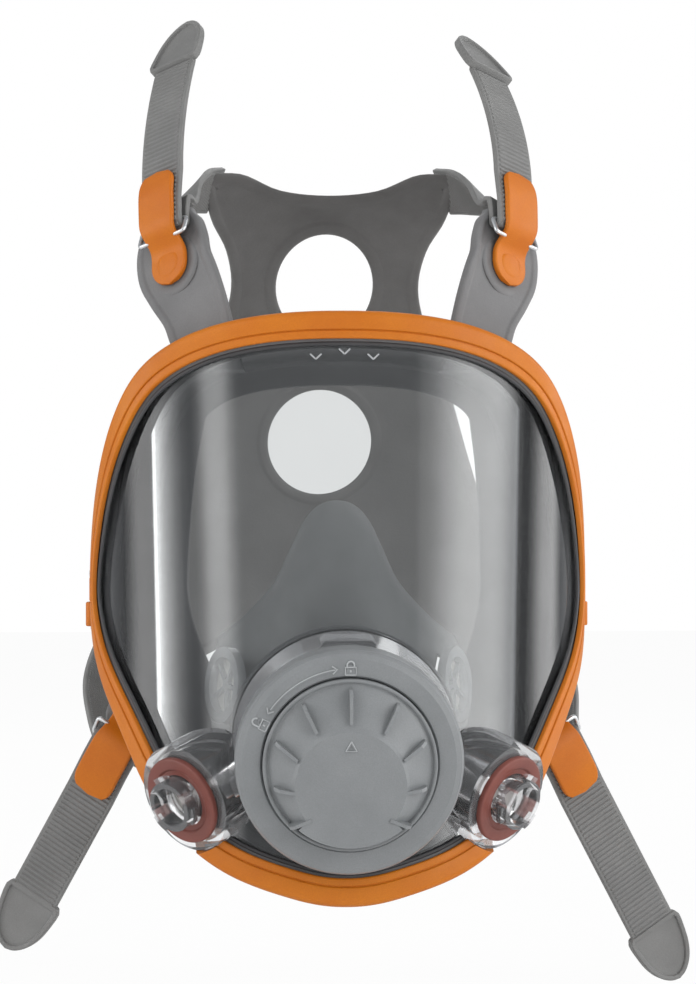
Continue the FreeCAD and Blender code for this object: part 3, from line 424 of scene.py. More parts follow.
# ---- visor surface and rim ----
VISOR_HALF_WIDTH = 82.6
VISOR_DEPTH = 58.0            # at Z = 0
VISOR_LEAN = 0.077            # extra depth for each millimetre downwards
VISOR_POWER = 2.3
# outer edge of the frame on that surface: (plan angle in degrees, height), top centre to bottom
RIM = [(0, 98.4), (37.7, 89.5), (53.6, 78.0), (64.0, 64.2), (71.8, 50.0), (81.5, 26.0), (85.5, 0.0),
       (75.5, -21.5), (61.0, -41.2), (50.5, -59.0), (42.6, -71.1), (33.1, -81.6), (23.0, -89.4),
       (11.6, -95.2), (0, -98.6)]
SEAM = 6                      # index of the side seam in RIM
SEAM_GAP = 0.3
RIM_SAMPLES = 1201            # places at which the rim is measured
TANGENT_REACH = 1.6           # distance to either side over which the rim's direction is taken
FRAME_PROFILE = [(-9.5, 1.7), (-9.5, 3.2), (-9.0, 3.5), (-7.0, 3.4), (-6.85, 3.0), (-6.6, 3.0), (-6.4, 3.75),
                 (-1.4, 3.7), (0.0, 2.2), (0.0, -6.3), (-0.9, -6.9), (-8.2, -6.9), (-8.2, -5.3), (-1.9, -5.3),
                 (-1.9, 1.7)]
FRAME_CORNERS = [0.15, 0.3, 0.3, 0.12, 0.05, 0.05, 0.35, 1.2, 1.4, 0.9, 0.6, 0.3, 0.2, 0.3, 0.3]
BEAD_PROFILE = [(-9.3, 0.4), (-11.7, 0.4), (-11.7, 1.1), (-11.4, 1.5), (-10.5, 1.5), (-10.2, 0.85),
                (-9.3, 0.85)]
BEAD_CORNERS = [0.1, 0.3, 0.5, 0.6, 0.4, 0.2, 0.1]
FILTER = Spot((53.3, -59.5, -63.3), (0.3, 0, 1), (0.68, -0.656, -0.33))
BOSS_RADIUS = 18.5


def power(value, exponent):
    return math.copysign(abs(value) ** exponent, value)


def visor_point(angle, z):
    a = math.radians(angle)
    depth = VISOR_DEPTH - VISOR_LEAN * z
    return np.array((VISOR_HALF_WIDTH * power(math.sin(a), 2 / VISOR_POWER),
                     -depth * power(math.cos(a), 2 / VISOR_POWER), z))


def visor_normal(p):
    depth = VISOR_DEPTH - VISOR_LEAN * p[2]
    side = power(p[0] / VISOR_HALF_WIDTH, VISOR_POWER - 1) / VISOR_HALF_WIDTH
    front = (abs(p[1]) / depth) ** (VISOR_POWER - 1) / depth
    return unit((side, -front, front * VISOR_LEAN * abs(p[1]) / depth))


class ClosedCurve:
    """A closed cubic curve with continuous curvature through given points."""

    def __init__(self, points):
        self.points = np.array(points, float)
        following = np.roll(self.points, -1, axis=0)
        self.spans = np.linalg.norm(following - self.points, axis=1)
        self.knots = np.concatenate([[0], np.cumsum(self.spans)])
        after = self.spans[:, None]
        before = np.roll(after, 1, axis=0)
        eye = np.eye(len(points))
        matrix = 2 * eye * (before + after)
        matrix += np.roll(eye, -1, axis=1) * before + np.roll(eye, 1, axis=1) * after
        slope = (following - self.points) / after
        self.curvature = np.linalg.solve(matrix / 6, slope - np.roll(slope, 1, axis=0))

    def at(self, t):
        t = t % self.knots[-1]
        i = min(int(np.searchsorted(self.knots, t, side="right")) - 1, len(self.points) - 1)
        j = (i + 1) % len(self.points)
        span = self.spans[i]
        b = (t - self.knots[i]) / span
        a = 1 - b
        bend = ((a ** 3 - a) * self.curvature[i] + (b ** 3 - b) * self.curvature[j]) * span * span / 6
        return a * self.points[i] + b * self.points[j] + bend


RIM_CURVE = ClosedCurve(both_sides(RIM))


def rim_line(which, count):
    """(place, outward in-surface direction, surface normal) evenly along a frame half or the whole rim."""
    seam, whole = RIM_CURVE.knots[SEAM], RIM_CURVE.knots[-1]
    gap = SEAM_GAP / 2
    first, last = {"upper": (-seam + gap, seam - gap), "lower": (seam + gap, whole - seam - gap),
                   "whole": (0.0, whole)}[which]
    dense = np.array([visor_point(*RIM_CURVE.at(t)) for t in np.linspace(first, last, RIM_SAMPLES)])
    distances = measured(dense)
    length = distances[-1]
    closed = which == "whole"
    found = []
    for i in range(count if closed else count + 1):
        near = [length * i / count + shift for shift in (-TANGENT_REACH, 0.0, TANGENT_REACH)]
        before, p, after = (place_at(dense, distances, d % length if closed else d) for d in near)
        tangent = unit(after - before)
        normal = visor_normal(p)
        normal = unit(normal - tangent * normal.dot(tangent))
        outward = np.cross(tangent, normal)
        if outward.dot((p[0], 0, p[2])) < 0:
            outward = -outward
        if not closed and i in (0, count):
            # the seam faces are level
            outward = unit((outward[0], outward[1], 0))
            normal = unit((normal[0], normal[1], 0))
        found.append((p, outward, normal))
    return found


def sweep(outline, rim, closed_path=False):
    """A flat (outward, along the normal) outline carried along the rim."""
    return skin([[p + outward * b + normal * n for b, n in outline] for p, outward, normal in rim],
                closed_path)


def clear_bosses(obj):
    """Cuts the space of both filter bosses out of an object."""
    for _, flip in HANDS:
        carve(obj, *disc(BOSS_RADIUS + 0.3, -17, 14, 64, FILTER), mirror=flip)


def lug(low, high, shortening):
    """A seam lug: an upright block with soft edges."""
    x0, x1 = 79.0, 87.4 - shortening
    outline = rounded([(x0, -6.6), (x1, -6.6), (x1, 1.6), (x0, 1.6)], [0.6, 2.2, 2.6, 0.6], 5)
    centre = np.mean(outline, axis=0)
    ease = ((0.0, 0.5), (0.15, 0.15), (0.5, 0.0))
    levels = [(low + rise, shrink) for rise, shrink in ease]
    levels += [(high - drop, shrink) for drop, shrink in ease[::-1]]
    return skin([[(*(p + unit(centre - p) * shrink), z) for p in outline] for z, shrink in levels])


def make_frame():
    profile = rounded(FRAME_PROFILE, FRAME_CORNERS, 3)
    for which, low, high, shortening in (("upper", 0.15, 8.5, 1.2), ("lower", -8.5, -0.15, 0.0)):
        band = make_object("frame_band_" + which, *sweep(profile, rim_line(which, 200)), ORANGE, CAD_SHARP)
        if which == "lower":
            clear_bosses(band)
        points, faces = lug(low, high, shortening)
        both = joined((points, faces), ([(-x, y, z) for x, y, z in points], faces))
        for piece in (band, make_object("frame_lugs_" + which, *both, ORANGE, CAD_SHARP)):
            attach(piece, "facepiece", "frame_" + which)


# ---- face seal ----
# skirt and lip lines behind the knee: (share of the skirt's depth, extra depth, distance inwards)
SKIRT_OUTER = [(0.0, 2.0, -1.2), (0.30, 0.0, -0.9), (0.65, 0.0, 0.0), (0.90, 0.0, 1.8), (1.0, 0.9, 5.0),
               (1.0, 1.2, 9.0), (1.0, -0.2, 14.0), (1.0, -3.6, 20.5)]
SKIRT_INNER = [(1.0, -4.5, 19.8), (1.0, -2.0, 13.4), (1.0, -1.2, 8.8), (1.0, -2.2, 5.8), (0.88, 0.0, 4.1),
               (0.65, 0.0, 2.4), (0.30, 0.0, 1.5), (0.0, 2.0, 1.2)]
KNEE = (-10.2, -9.6)          # where the rim channel turns into the skirt
SKIRT_TOP, SKIRT_SIDE, SKIRT_CHIN = 27.0, 40.0, 44.0
LIP_START = 6.0               # distance inwards from which a place belongs to the lip
LIP_EASE_TOP = 0.36           # the lip narrows by this share towards the forehead
EAR_THICK = 3.0
EAR_ROLL = 0.35               # height of the rib along an ear's edge
EAR_YAW = 42                  # of the ear's free end
# upper ear: (x, y, z, yaw of its face in degrees, half width)
EAR_STATIONS = [(43.5, -31.5, 79, 22, 11.5), (46.5, -31.8, 88, 25, 12.0), (49.0, -28.8, 97, 31, 12.5),
                (53.2, -22.6, 107, 38, 14.5), (56.5, -17.0, 115.3, EAR_YAW, 15.5),
                (57.2, -13.8, 123, EAR_YAW, 15.0), (56.8, -12.0, 129, EAR_YAW, 12.5),
                (56.2, -10.8, 133, EAR_YAW, 8.0)]
LOWER_EAR = [(11, -6), (11, 6), (9, 11), (4, 14), (-4, 14), (-9, 11), (-11, 6), (-11, -5), (-8, -10),
             (4, -10)]


def skirt_length(z):
    end = SKIRT_TOP if z >= 0 else SKIRT_CHIN
    return SKIRT_SIDE + (end - SKIRT_SIDE) * min(abs(z) / 90.0, 1.0) ** 2


def seal_section(p, outward, normal):
    """Rim channel round the lens edge, then the skirt running back and the turned-in lip."""
    run = np.cross(outward, normal)
    inward = unit((-run[2], 0, run[0]))
    if inward.dot((p[0], 0, p[2])) > 0:
        inward = -inward
    reach = skirt_length(p[2])
    width = 1.0 - LIP_EASE_TOP * min(max(p[2], 0.0) / 80.0, 1.0) ** 2

    def on_rim(b, n):
        return p + outward * b + normal * n

    def behind(share, extra, across):
        across *= width if across > LIP_START else 1.0
        return on_rim(*KNEE) + np.array((0, reach * share + extra, 0)) + inward * across

    channel = [(-11.4, 0.3), (-11.4, 0.8), (-9.4, 1.2), (-2.1, 1.4), (-2.1, -5.1), (-9.0, -5.1), (-9.0, -8.0)]
    groove = [(-11.4, -9.6), (-11.4, -6.0), (-12.0, -5.6), (-12.0, -5.0), (-3.8, -2.85), (-3.8, 0.45)]
    skirt = [place for line in (SKIRT_OUTER, SKIRT_INNER) for place in catmull([behind(*s) for s in line], 3)]
    corners = [on_rim(*place) for place in channel] + skirt + [on_rim(*place) for place in groove]
    return rounded(corners, [0.4] * len(channel) + [0.5] * len(skirt) + [0.4] * len(groove), 2)


def ear_outline(half):
    """A section of the upper ear: a flat strip with a rib along either edge."""
    wide = max(half, 5.0)
    top, bottom = EAR_THICK / 2, -EAR_THICK / 2
    rib, land, dip = (2.4, 3.4, 0.1) if half >= wide else (2.0, 3.0, 0.0)
    right = [(wide, top + EAR_ROLL), (wide - rib, top + EAR_ROLL), (wide - land, top - dip)]
    corners = [(-wide, bottom), (wide, bottom)] + both_sides(right)
    smoothed = rounded(corners, [0.8, 0.8, 1.0, 0.8, 0.5, 0.5, 0.8, 1.0])
    return [(side * max(half, 0.4) / wide, height) for side, height in smoothed]


def upper_ear():
    """The ear behind an upper buckle: a curved plate whose free end closes in a half round."""
    stations = catmull(EAR_STATIONS, 5)
    tip = stations[-1]
    for k in (1, 2, 3):
        half = tip[4] * math.sqrt(1 - (k / 3.02) ** 2)
        stations.append(np.array((tip[0] - 0.1 * k, tip[1] + 0.3 * k, tip[2] + 0.75 * k, EAR_YAW, half)))
    path = [station[:3] for station in stations]
    rings = []
    for i, (place, yaw, half) in enumerate(zip(path, *np.array(stations)[:, 3:].T)):
        up = run_at(path, i)
        yaw = math.radians(yaw)
        spot = Spot(place, (0, up[1], up[2]), (math.sin(yaw), -math.cos(yaw), 0.38 * math.cos(yaw)))
        rings.append([spot.point(side, 0, height) for side, height in ear_outline(half)])
    return skin(rings)


def stud_pad(spot, radius):
    """The low round pad moulded on an ear round its stud, seen from both sides of the ear."""
    rear = [(0.01, -3.05), (6.6, -3.05), (7.4, -2.7), (7.6, -2.0)]
    front = [(radius - 0.4, -2.0), (radius, -0.5), (radius - 0.5, 0.05), (radius - 1.5, 0.15),
             (radius - 2.6, 0.05), (0.01, 0.05)]
    return turned(rear + front, 48, spot)


def lower_ear():
    """The tab behind a lower buckle, which drops away under the strap's fold."""
    outline = rounded(LOWER_EAR, 3.0, 5)
    layers = [(1.0, -EAR_THICK), (0.2, -EAR_THICK + 0.2), (0.0, -EAR_THICK + 0.8), (0.0, -0.7), (0.25, -0.2),
              (1.0, -0.05), (2.2, -0.3)]
    rings = []
    for distance, height in layers:
        drop = 1.1 if height > -1 else 0.0
        rings.append([LOWER.point(side, along, height - drop * min(max((along - 7.0) / 3.0, 0.0), 1.0))
                      for side, along in inset(outline, distance)])
    return skin(rings)


def make_seal():
    rim = rim_line("whole", 220)
    skirt = make_object("seal_skirt", *skin([seal_section(*spot) for spot in rim], True), SEAL)
    # the bead gets the darker grey of painted shade, not its own rubber grey
    bead = make_object("seal_bead", *sweep(rounded(BEAD_PROFILE, BEAD_CORNERS, 3), rim, True), SHADED_BEAD)
    pieces = [skirt, bead]
    for piece in pieces:
        clear_bosses(piece)
    pads = joined(stud_pad(UPPER, 11.4), lower_ear(), stud_pad(LOWER, 8.6))
    for hand, flip in HANDS:
        ear = make_object("seal_ear_" + hand, *upper_ear(), SEAL, 50, flip)
        carve(ear, *disc(7.5, -9, -3.1, 48, UPPER), mirror=flip)
        pieces += [ear, make_object("seal_pads_" + hand, *pads, SEAL, 50, flip)]
    for piece in pieces:
        attach(piece, "facepiece", "face_seal")


# ---- visor lens ----
LENS_THICK = 2.4
NECK_RADIUS = 36.0
SURFACE_SLACK = 0.014         # how far from 1 the superellipse's level may be on a face
SAME_WAY = 0.97               # cosine within which a polygon faces along the surface's normal


def on_visor(p):
    """Whether a place lies on the visor's outer or inner face, and not on a part moulded to it."""
    depth = VISOR_DEPTH - VISOR_LEAN * p[2]
    for inward in (0.0, LENS_THICK):
        level = (abs(p[0]) / (VISOR_HALF_WIDTH - inward)) ** VISOR_POWER
        level += (abs(p[1]) / (depth - inward)) ** VISOR_POWER
        if abs(level - 1) < SURFACE_SLACK and p[1] < 0:
            return True
    return False


def near_fitting(p):
    """Whether a place belongs to a filter boss or to the neck of the middle port."""
    boss = (np.array((abs(p[0]), p[1], p[2])), FILTER, 19, BOSS_RADIUS + 0.6)
    neck = (p, PORT, 37, NECK_RADIUS + 3.5)
    for place, spot, depth, radius in (boss, neck):
        offset = place - spot.origin
        height = offset.dot(spot.face)
        if height > -depth and np.linalg.norm(offset - spot.face * height) < radius:
            return True
    return False


def make_lens():
    """The lens with the visor surface's exact normals, so that reflections run smoothly over it."""
    mesh = nodes["visor_lens"].data.copy()
    mesh.transform(nodes["visor_lens"].matrix_world)
    smooth(mesh, [CLEAR, FITTING], CAD_SHARP)
    normals = [tuple(corner.vector) for corner in mesh.corner_normals]
    for polygon in mesh.polygons:
        centre = np.array(polygon.center) / MM
        facing = float(np.dot(polygon.normal, visor_normal(centre))) if centre[1] < 0 else 0.0
        if on_visor(centre) and abs(facing) > SAME_WAY:
            for loop in polygon.loop_indices:
                place = np.array(mesh.vertices[mesh.loops[loop].vertex_index].co) / MM
                normals[loop] = tuple(visor_normal(place) * math.copysign(1.0, facing))
        elif near_fitting(centre):
            polygon.material_index = 1
    mesh.normals_split_custom_set(normals)
    attach(add_to_scene("lens", mesh), "facepiece", "visor_lens")


# ---- buckles, bails and straps ----
BUCKLE_RADIUS = 7.6
PLATE_END = 33.0
PLATE_MIDDLE = 7.7            # height of the plate's middle over the ear
PLATE_WAIST = 0.75            # how much narrower the plate is beside its foot, on either side
PLATE_DISH = 0.22             # depth of the hollow along the plate's outer face
WIRE_RADIUS = 0.8
STRAP_WIDTH = 18.0
STRAP_THICK = 2.0
FOLD = (14.0, 3.4)            # along and height of the bail's crossbar
FOLD_RADIUS = WIRE_RADIUS + 0.15 + STRAP_THICK / 2      # of the folded strap's middle
RIB_PITCH = 1.75
RIB_HEIGHT = 0.45
RIB_MARGIN = 1.3
TAB_HALF = 10.9
TAB_LENGTH = 23.0
OUTER_CUT = 28                # sections from the fold's start to the tail
BACK_CUT = {"upper": 14, "lower": 8}      # sections from the fold's start to the arm
FAR_SECTIONS = 60             # sections in the arm's first stretch
# length of a tail from the plate's end, and how far its end curls in degrees
TAILS = {"upper_left": (69.0, 24.0), "upper_right": (68.0, 34.0), "lower_left": (65.0, 0.0),
         "lower_right": (80.0, 0.0)}
# places on the way from an ear to the harness, and the direction of the strap's width at the harness
ARM_ENDS = {
    "upper": ([(56.3, 3.0, 137.0), (53.0, 24.0, 143.0), (47.5, 45.0, 147.0), (42.3, 60.5, 148.8)],
              (0.10, 0.77, -0.63)),
    "lower": ([(79.5, 24.0, -46.0), (83.0, 52.0, -35.0), (81.5, 88.0, -23.0), (75.6, 120.0, -14.5)],
              (-0.10, 0.10, -0.99)),
}
ARM_TURN_START = 0.12         # share of the arm after which the strap turns on to its edge


def lever(spot):
    """The bent lever plate: round foot, ramp, raised plate and dipped round end, with soft edges."""
    middle = bent([(-BUCKLE_RADIUS, 1.35), (5.2, 1.35), (11.0, PLATE_MIDDLE), (25.5, PLATE_MIDDLE + 0.15),
                   (PLATE_END, PLATE_MIDDLE - 1.35)], 3.2, 7)
    dense = []
    for a, b in zip(middle, middle[1:]):
        steps = max(1, int(np.linalg.norm(b - a) / 0.9))
        dense += [a + (b - a) * k / steps for k in range(steps)]
    dense.append(middle[-1])
    rings = []
    for i, (along, height) in enumerate(dense):
        run = run_at(dense, i)
        up = np.array((-run[1], run[0]))
        from_foot = max(0.0, -along)
        from_end = max(0.0, along - (PLATE_END - BUCKLE_RADIUS))
        gap = min(max(from_foot, from_end) / BUCKLE_RADIUS, 0.9998)
        roundness = 2.0 if from_foot > from_end else 3.2
        waist = PLATE_WAIST * math.exp(-((along - 8.5) / 4.0) ** 2)
        half = max(BUCKLE_RADIUS * (1 - gap ** roundness) ** (1 / roundness) - waist, 0.25)
        thick = 1.05 * min(1.0, 0.35 + half / 2.2)
        corners = [(-half, -thick), (half, -thick), (half, thick), (-half, thick)]
        ring = []
        for side, off in rounded(corners, min(0.8, half * 0.8), 4):
            # the outer face is slightly hollow along the plate, with a raised edge
            dish = PLATE_DISH * (1 - (side / half) ** 2) if off > 0 and half > 3 else 0.0
            ring.append(spot.point(side, *(np.array((along, height)) + up * (off - dish))))
        rings.append(ring)
    return skin(rings)


def foot_boss(spot):
    """The low round boss over the stud on the buckle's foot."""
    return turned([(0.01, 2.0), (5.0, 2.0), (4.6, 2.42), (3.4, 2.56), (0.01, 2.66)], 40, spot)


def tube(path, radius, sides):
    """A round wire along a path, with a rounded end at either side."""
    ends = {0: [(-0.9, 0.35), (-0.6, 0.8), (0.0, 1.0)], len(path) - 1: [(0.0, 1.0), (0.6, 0.8), (0.9, 0.35)]}
    reference = unit(np.cross(run_at(path, 0), (0.31, 0.52, 0.79)))
    rings = []
    for i, centre in enumerate(path):
        run = run_at(path, i)
        reference = unit(reference - run * reference.dot(run))
        other = np.cross(run, reference)
        for shift, share in ends.get(i, [(0.0, 1.0)]):
            middle = centre + run * shift * radius
            rings.append([middle + reference * x + other * y for x, y in circle(radius * share, sides)])
    return skin(rings)


def bail(spot):
    half = STRAP_WIDTH / 2 + 1.1
    reach = BUCKLE_RADIUS - 1.4
    pivot = (8.2, 5.25)
    left = [(-reach, *pivot), (-half, *pivot), (-half, *FOLD)]
    corners = left + [(-side, along, height) for side, along, height in left[::-1]]
    return tube([spot.point(*place) for place in bent(corners, 1.4)], WIRE_RADIUS, 14)


def strap_ring(centre, across, up, rib):
    """One section of a strap: a soft-edged rectangle whose ribbed face stands out by rib."""
    half, thick, soft = STRAP_WIDTH / 2, STRAP_THICK / 2, 0.3
    inner = half - RIB_MARGIN
    right = [(half - soft, -thick), (half, -thick + soft), (half, thick - soft), (half - soft, thick),
             (inner + 0.15, thick), (inner - 0.1, thick + rib)]
    return [centre + across * a + up * b for a, b in both_sides(right)]


def resample(path, spacing):
    """Evenly spaced places along an open path."""
    path = np.asarray(path, float)
    distances = measured(path)
    count = max(2, int(round(distances[-1] / spacing)))
    return [place_at(path, distances, d) for d in np.linspace(0, distances[-1], count + 1)]


def ribbed_band(spot, path, last_across, turn_start=0.0):
    """A strap's sections along a path. A rib takes four: two in the groove and two on the rib's top."""
    places = resample(path, RIB_PITCH / 4)
    last = len(places) - 1
    rings = []
    for i, centre in enumerate(places):
        run = run_at(places, i)
        share = max((i / last - turn_start) / (1 - turn_start), 0.0)
        share = share * share * (3 - 2 * share)
        across = spot.side * (1 - share) + last_across * share
        across = unit(across - run * across.dot(run))
        up = np.cross(across, run)
        if i == 0:
            flip = math.copysign(1.0, -up.dot(spot.face))
        rib = RIB_HEIGHT if i % 4 in (1, 2) and 2 < i < last - 2 else 0.0
        rings.append(strap_ring(centre, across, up * flip, rib))
    return rings


def tail_path(length, curl):
    """(along, height) from the arm's side of the fold, round the crossbar and out to the tab's tip."""
    turn = [math.radians(-90 - 15 * i) for i in range(13)]
    path = [(FOLD[0] + FOLD_RADIUS * math.cos(a), FOLD[1] + FOLD_RADIUS * math.sin(a)) for a in turn]
    layer = FOLD[1] + FOLD_RADIUS
    along, height, steps = PLATE_END, layer - 1.2, 24
    path += [(22.0, layer), (along, height)]
    for i in range(steps):
        tilt = curl * ((i + 0.5) / steps) ** 0.8
        along += length / steps * math.cos(tilt)
        height -= length / steps * math.sin(tilt)
        path.append((along, height))
    return path


def tail_band(spot, length, curl):
    """Sections of the ribbed strap from the fold to the pull tab's neck, and the tab's own mesh."""
    curl = math.radians(curl)
    places = [spot.point(0, a, h) for a, h in tail_path(length, curl)]
    end = places[-1]
    neck = end - unit(end - places[-2]) * (TAB_LENGTH - 2)
    kept = [p for p in places if (p - neck).dot(end - neck) < 0] + [neck]
    tip = Spot(end, spot.along * math.cos(curl) - spot.face * math.sin(curl),
               spot.face * math.cos(curl) + spot.along * math.sin(curl))
    return ribbed_band(spot, kept, spot.side), pull_tab(tip)


def pull_tab(tip):
    """The leaf-shaped pull tab: pointed end, barbed shoulders, a raised rim round a hollow face."""
    neck = STRAP_WIDTH / 2
    right = [(neck, -TAB_LENGTH), (neck + 1.0, -TAB_LENGTH + 0.4)]
    right += catmull([(TAB_HALF, -TAB_LENGTH + 2.2), (TAB_HALF - 0.15, -TAB_LENGTH + 5.5), (9.4, -10.0),
                      (6.9, -4.6), (3.4, -1.2), (0, 0)], 5)
    layers = [(1.2, -1.5), (0.25, -1.5), (0.0, -1.2), (0.0, 1.1), (0.3, 1.5), (1.2, 1.5), (1.6, 1.3),
              (1.9, 0.5), (2.5, 0.35)]
    return layered(tip, both_sides(right), layers)


def arm_band(spot, level):
    """Sections of the strap from the fold back to the harness, turning on to its edge on the way."""
    if level == "upper":
        lead = [(0, 0), (4.0, 0.1), (8.0, 0.6)]
    else:
        turn = [math.radians(a) for a in range(0, 76, 15)]
        lead = [(3.2 * math.sin(a), 3.2 * (1 - math.cos(a))) for a in turn]
    start = [spot.point(0, FOLD[0] + along, FOLD[1] - FOLD_RADIUS - drop) for along, drop in lead]
    places, last_across = ARM_ENDS[level]
    path = start[:-1] + catmull([start[-1]] + places, 12)
    return ribbed_band(spot, path, np.array(last_across), ARM_TURN_START)


def each_buckle():
    """(level, the right-hand frame, name ending, whether it is mirrored) of the four buckles."""
    return [(level, spot, "%s_%s" % (level, hand), flip)
            for level, spot in (("upper", UPPER), ("lower", LOWER)) for hand, flip in HANDS]


def make_buckles():
    for _, spot, key, flip in each_buckle():
        plate = make_object("lever_" + key, *joined(lever(spot), foot_boss(spot)), ORANGE_LEVER, 50, flip)
        attach(plate, "buckle_" + key, "buckle_" + key)
        wire = make_object("wire_" + key, *bail(spot), STEEL, 60, flip)
        attach(wire, "bail_" + key, "bail_" + key)


def make_straps():
    """Each strap is one band in four lengths: fold, tail, and two stretches of its arm. Neighbours share a
    section."""
    for level, spot, key, flip in each_buckle():
        outer, tab = tail_band(spot, *TAILS[key])
        back = arm_band(spot, level)
        near_cut = BACK_CUT[level]
        far_cut = near_cut + FAR_SECTIONS
        near, far, end = (np.mean(back[cut], axis=0) for cut in (near_cut, far_cut, -1))
        bodies = ["bail_" + key, "buckle_" + key, "strap_" + key, "facepiece", "head_harness"]
        lengths = [
            ("fold", skin(back[near_cut::-1] + outer[1:OUTER_CUT + 1]), bodies[0], bodies[1],
             spot.point(0, FOLD[0] + 1.0, 0), spot.point(0, FOLD[0] + 5.2, 0)),
            ("tail", joined(skin(outer[OUTER_CUT:]), tab), bodies[1], bodies[2],
             spot.point(0, FOLD[0] + 6.0, 0), spot.point(0, PLATE_END + 30.0, 0)),
            ("arm", skin(back[near_cut:far_cut + 1]), bodies[1], bodies[3], near, far),
            ("far_arm", skin(back[far_cut:]), bodies[3], bodies[4], (0, far[1], 0), (0, end[1], 0)),
        ]
        for part, shape, first, second, start, stop in lengths:
            band = make_object("%s_%s" % (part, key), *shape, STRAP, 35, flip)
            start, stop = ((-p[0] * MM if flip else p[0] * MM, p[1] * MM, p[2] * MM) for p in (start, stop))
            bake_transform(band)
            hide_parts("strap_" + key)


# ---- head harness ----
HARNESS_HALF = 1.38           # half of the sheet's greatest thickness, at its ribs
HARNESS_BEND = 95.0           # radius of the bend across the head
# the sheet's middle line: (height, depth), from its lower edge
HARNESS_BACK = [(-50, 145), (-30, 152), (0, 157), (25, 155), (55, 146), (85, 128), (110, 108), (130, 88),
                (150, 63), (168, 40)]
HARNESS_OUTLINE = [(0, 147.5), (18, 149.0), (33, 154.0), (45.5, 151.5), (43.5, 139.0), (37.5, 128.0),
                   (35.5, 115.0), (39.5, 100.0), (49.0, 78.0), (58.5, 48.0), (68.0, 18.0), (74.5, 2.0),
                   (76.0, -14.0), (74.0, -30.0), (55.0, -30.0), (30.0, -20.0), (0, -16.0)]
HARNESS_HOLES = [(116.0, 18.4), (57.5, 20.3)]      # height and radius
# rows from an edge inwards: (distance, share of the half thickness), which make the rounded edge and its rib
HARNESS_EDGE = [(0.0, 0.5), (0.18, 0.8), (0.6, 0.98), (1.3, 1.08), (2.6, 1.10), (3.5, 1.0), (4.1, 0.78),
                (4.6, 0.72)]
HARNESS_MESH = 2.2            # spacing of the sheet's inner points
HARNESS_CURVE = np.array(catmull(HARNESS_BACK, 12))


def harness_place(x, z, lift):
    """A point of the bent sheet; lift runs from its outer face towards the head."""
    back = np.interp(z, HARNESS_CURVE[:, 0], HARNESS_CURVE[:, 1])
    return (x, back - HARNESS_BEND + math.sqrt(HARNESS_BEND ** 2 - x * x) - lift, z)


def inside(x, z, loop):
    """Whether a point lies in a closed loop."""
    odd = False
    for (x0, z0), (x1, z1) in zip(loop[-1:] + loop, loop):
        if (z0 > z) != (z1 > z) and x < x0 + (z - z0) / (z1 - z0) * (x1 - x0):
            odd = not odd
    return odd


def harness_loops(distance):
    """The sheet's outer edge and its two holes, all moved into the material by a distance."""
    loops = [inset(catmull(both_sides(HARNESS_OUTLINE), 5, closed=True), distance)]
    for height, radius in HARNESS_HOLES:
        loops.append([(x, height + z) for x, z in circle(radius + distance, 72)])
    return [[(float(x), float(z)) for x, z in loop] for loop in loops]


def harness_field(edge):
    """Points and triangles of the flat field inside the sheet's last row."""
    field, edges = [], []
    for line in edge:
        base = len(field)
        field += [Vector(p) for p in line]
        edges += [(base + i, base + (i + 1) % len(line)) for i in range(len(line))]
    guard = harness_loops(HARNESS_EDGE[-1][0] + HARNESS_MESH * 0.6)
    for iz in range(-16, 80):
        for ix in range(-38, 39):
            x, z = (ix + 0.5 * (iz % 2)) * HARNESS_MESH, iz * HARNESS_MESH
            if inside(x, z, guard[0]) and not any(inside(x, z, hole) for hole in guard[1:]):
                field.append(Vector((x, z)))
    places, _, triangles, *_ = delaunay_2d_cdt(field, edges, [], 1, 1e-4)
    kept = []
    for triangle in triangles:
        middle = sum((places[k] for k in triangle), Vector((0, 0))) / 3
        if not any(inside(middle.x, middle.y, hole) for hole in edge[1:]):
            kept.append(tuple(triangle))
    return places, kept


def make_harness():
    """Two faces joined by rounded edges, each with a raised rib that follows the sheet's edge and holes."""
    rows = [harness_loops(distance) for distance, _ in HARNESS_EDGE]
    outer, inner = ([HARNESS_HALF * (1 - face * (2 * share - 1)) for _, share in HARNESS_EDGE]
                    for face in (1, -1))
    levels = list(zip(rows, outer))[::-1] + list(zip(rows, inner))[1:]
    parts = [skin([[harness_place(*p, lift) for p in row[loop]] for row, lift in levels], caps=False)
             for loop in range(len(rows[0]))]
    places, triangles = harness_field(rows[-1])
    parts += [([harness_place(*p, lift) for p in places], triangles) for lift in (outer[-1], inner[-1])]
    attach(make_object("harness_sheet", *joined(*parts), HARNESS, 55), "head_harness",
           "head_harness")


# ---- nose cup ----
CUP_THICK = 1.8
# stations back to the face: (y, top, bottom, half width, height of the widest place)
CUP_STATIONS = [(-38.5, -18.5, -77.5, 29.0, -48.0), (-32.0, -6.0, -78.0, 36.5, -47.0),
                (-20.0, 14.0, -66.5, 44.0, -40.0), (-8.0, 29.0, -61.5, 42.5, -20.0),
                (2.0, 35.0, -59.0, 42.0, -14.0)]
# upper half of a section from its top: (share of the half width, share of the height)
CUP_BRIDGE = [(0.0, 1.0), (0.15, 0.965), (0.27, 0.85), (0.38, 0.65), (0.51, 0.42), (0.74, 0.20), (0.93, 0.06),
              (1.0, 0.0)]
# the rolled edge that lies on the face: (how far behind the last station, distance inwards)
CUP_ROLL = [(0.7, -0.1), (1.3, 0.25), (1.6, 0.9), (1.3, 1.55), (0.7, 1.75)]
CHECK_VALVE = Spot((39.5, -23.0, -28.0), (0, 0, 1), (0.90, -0.42, 0.08))


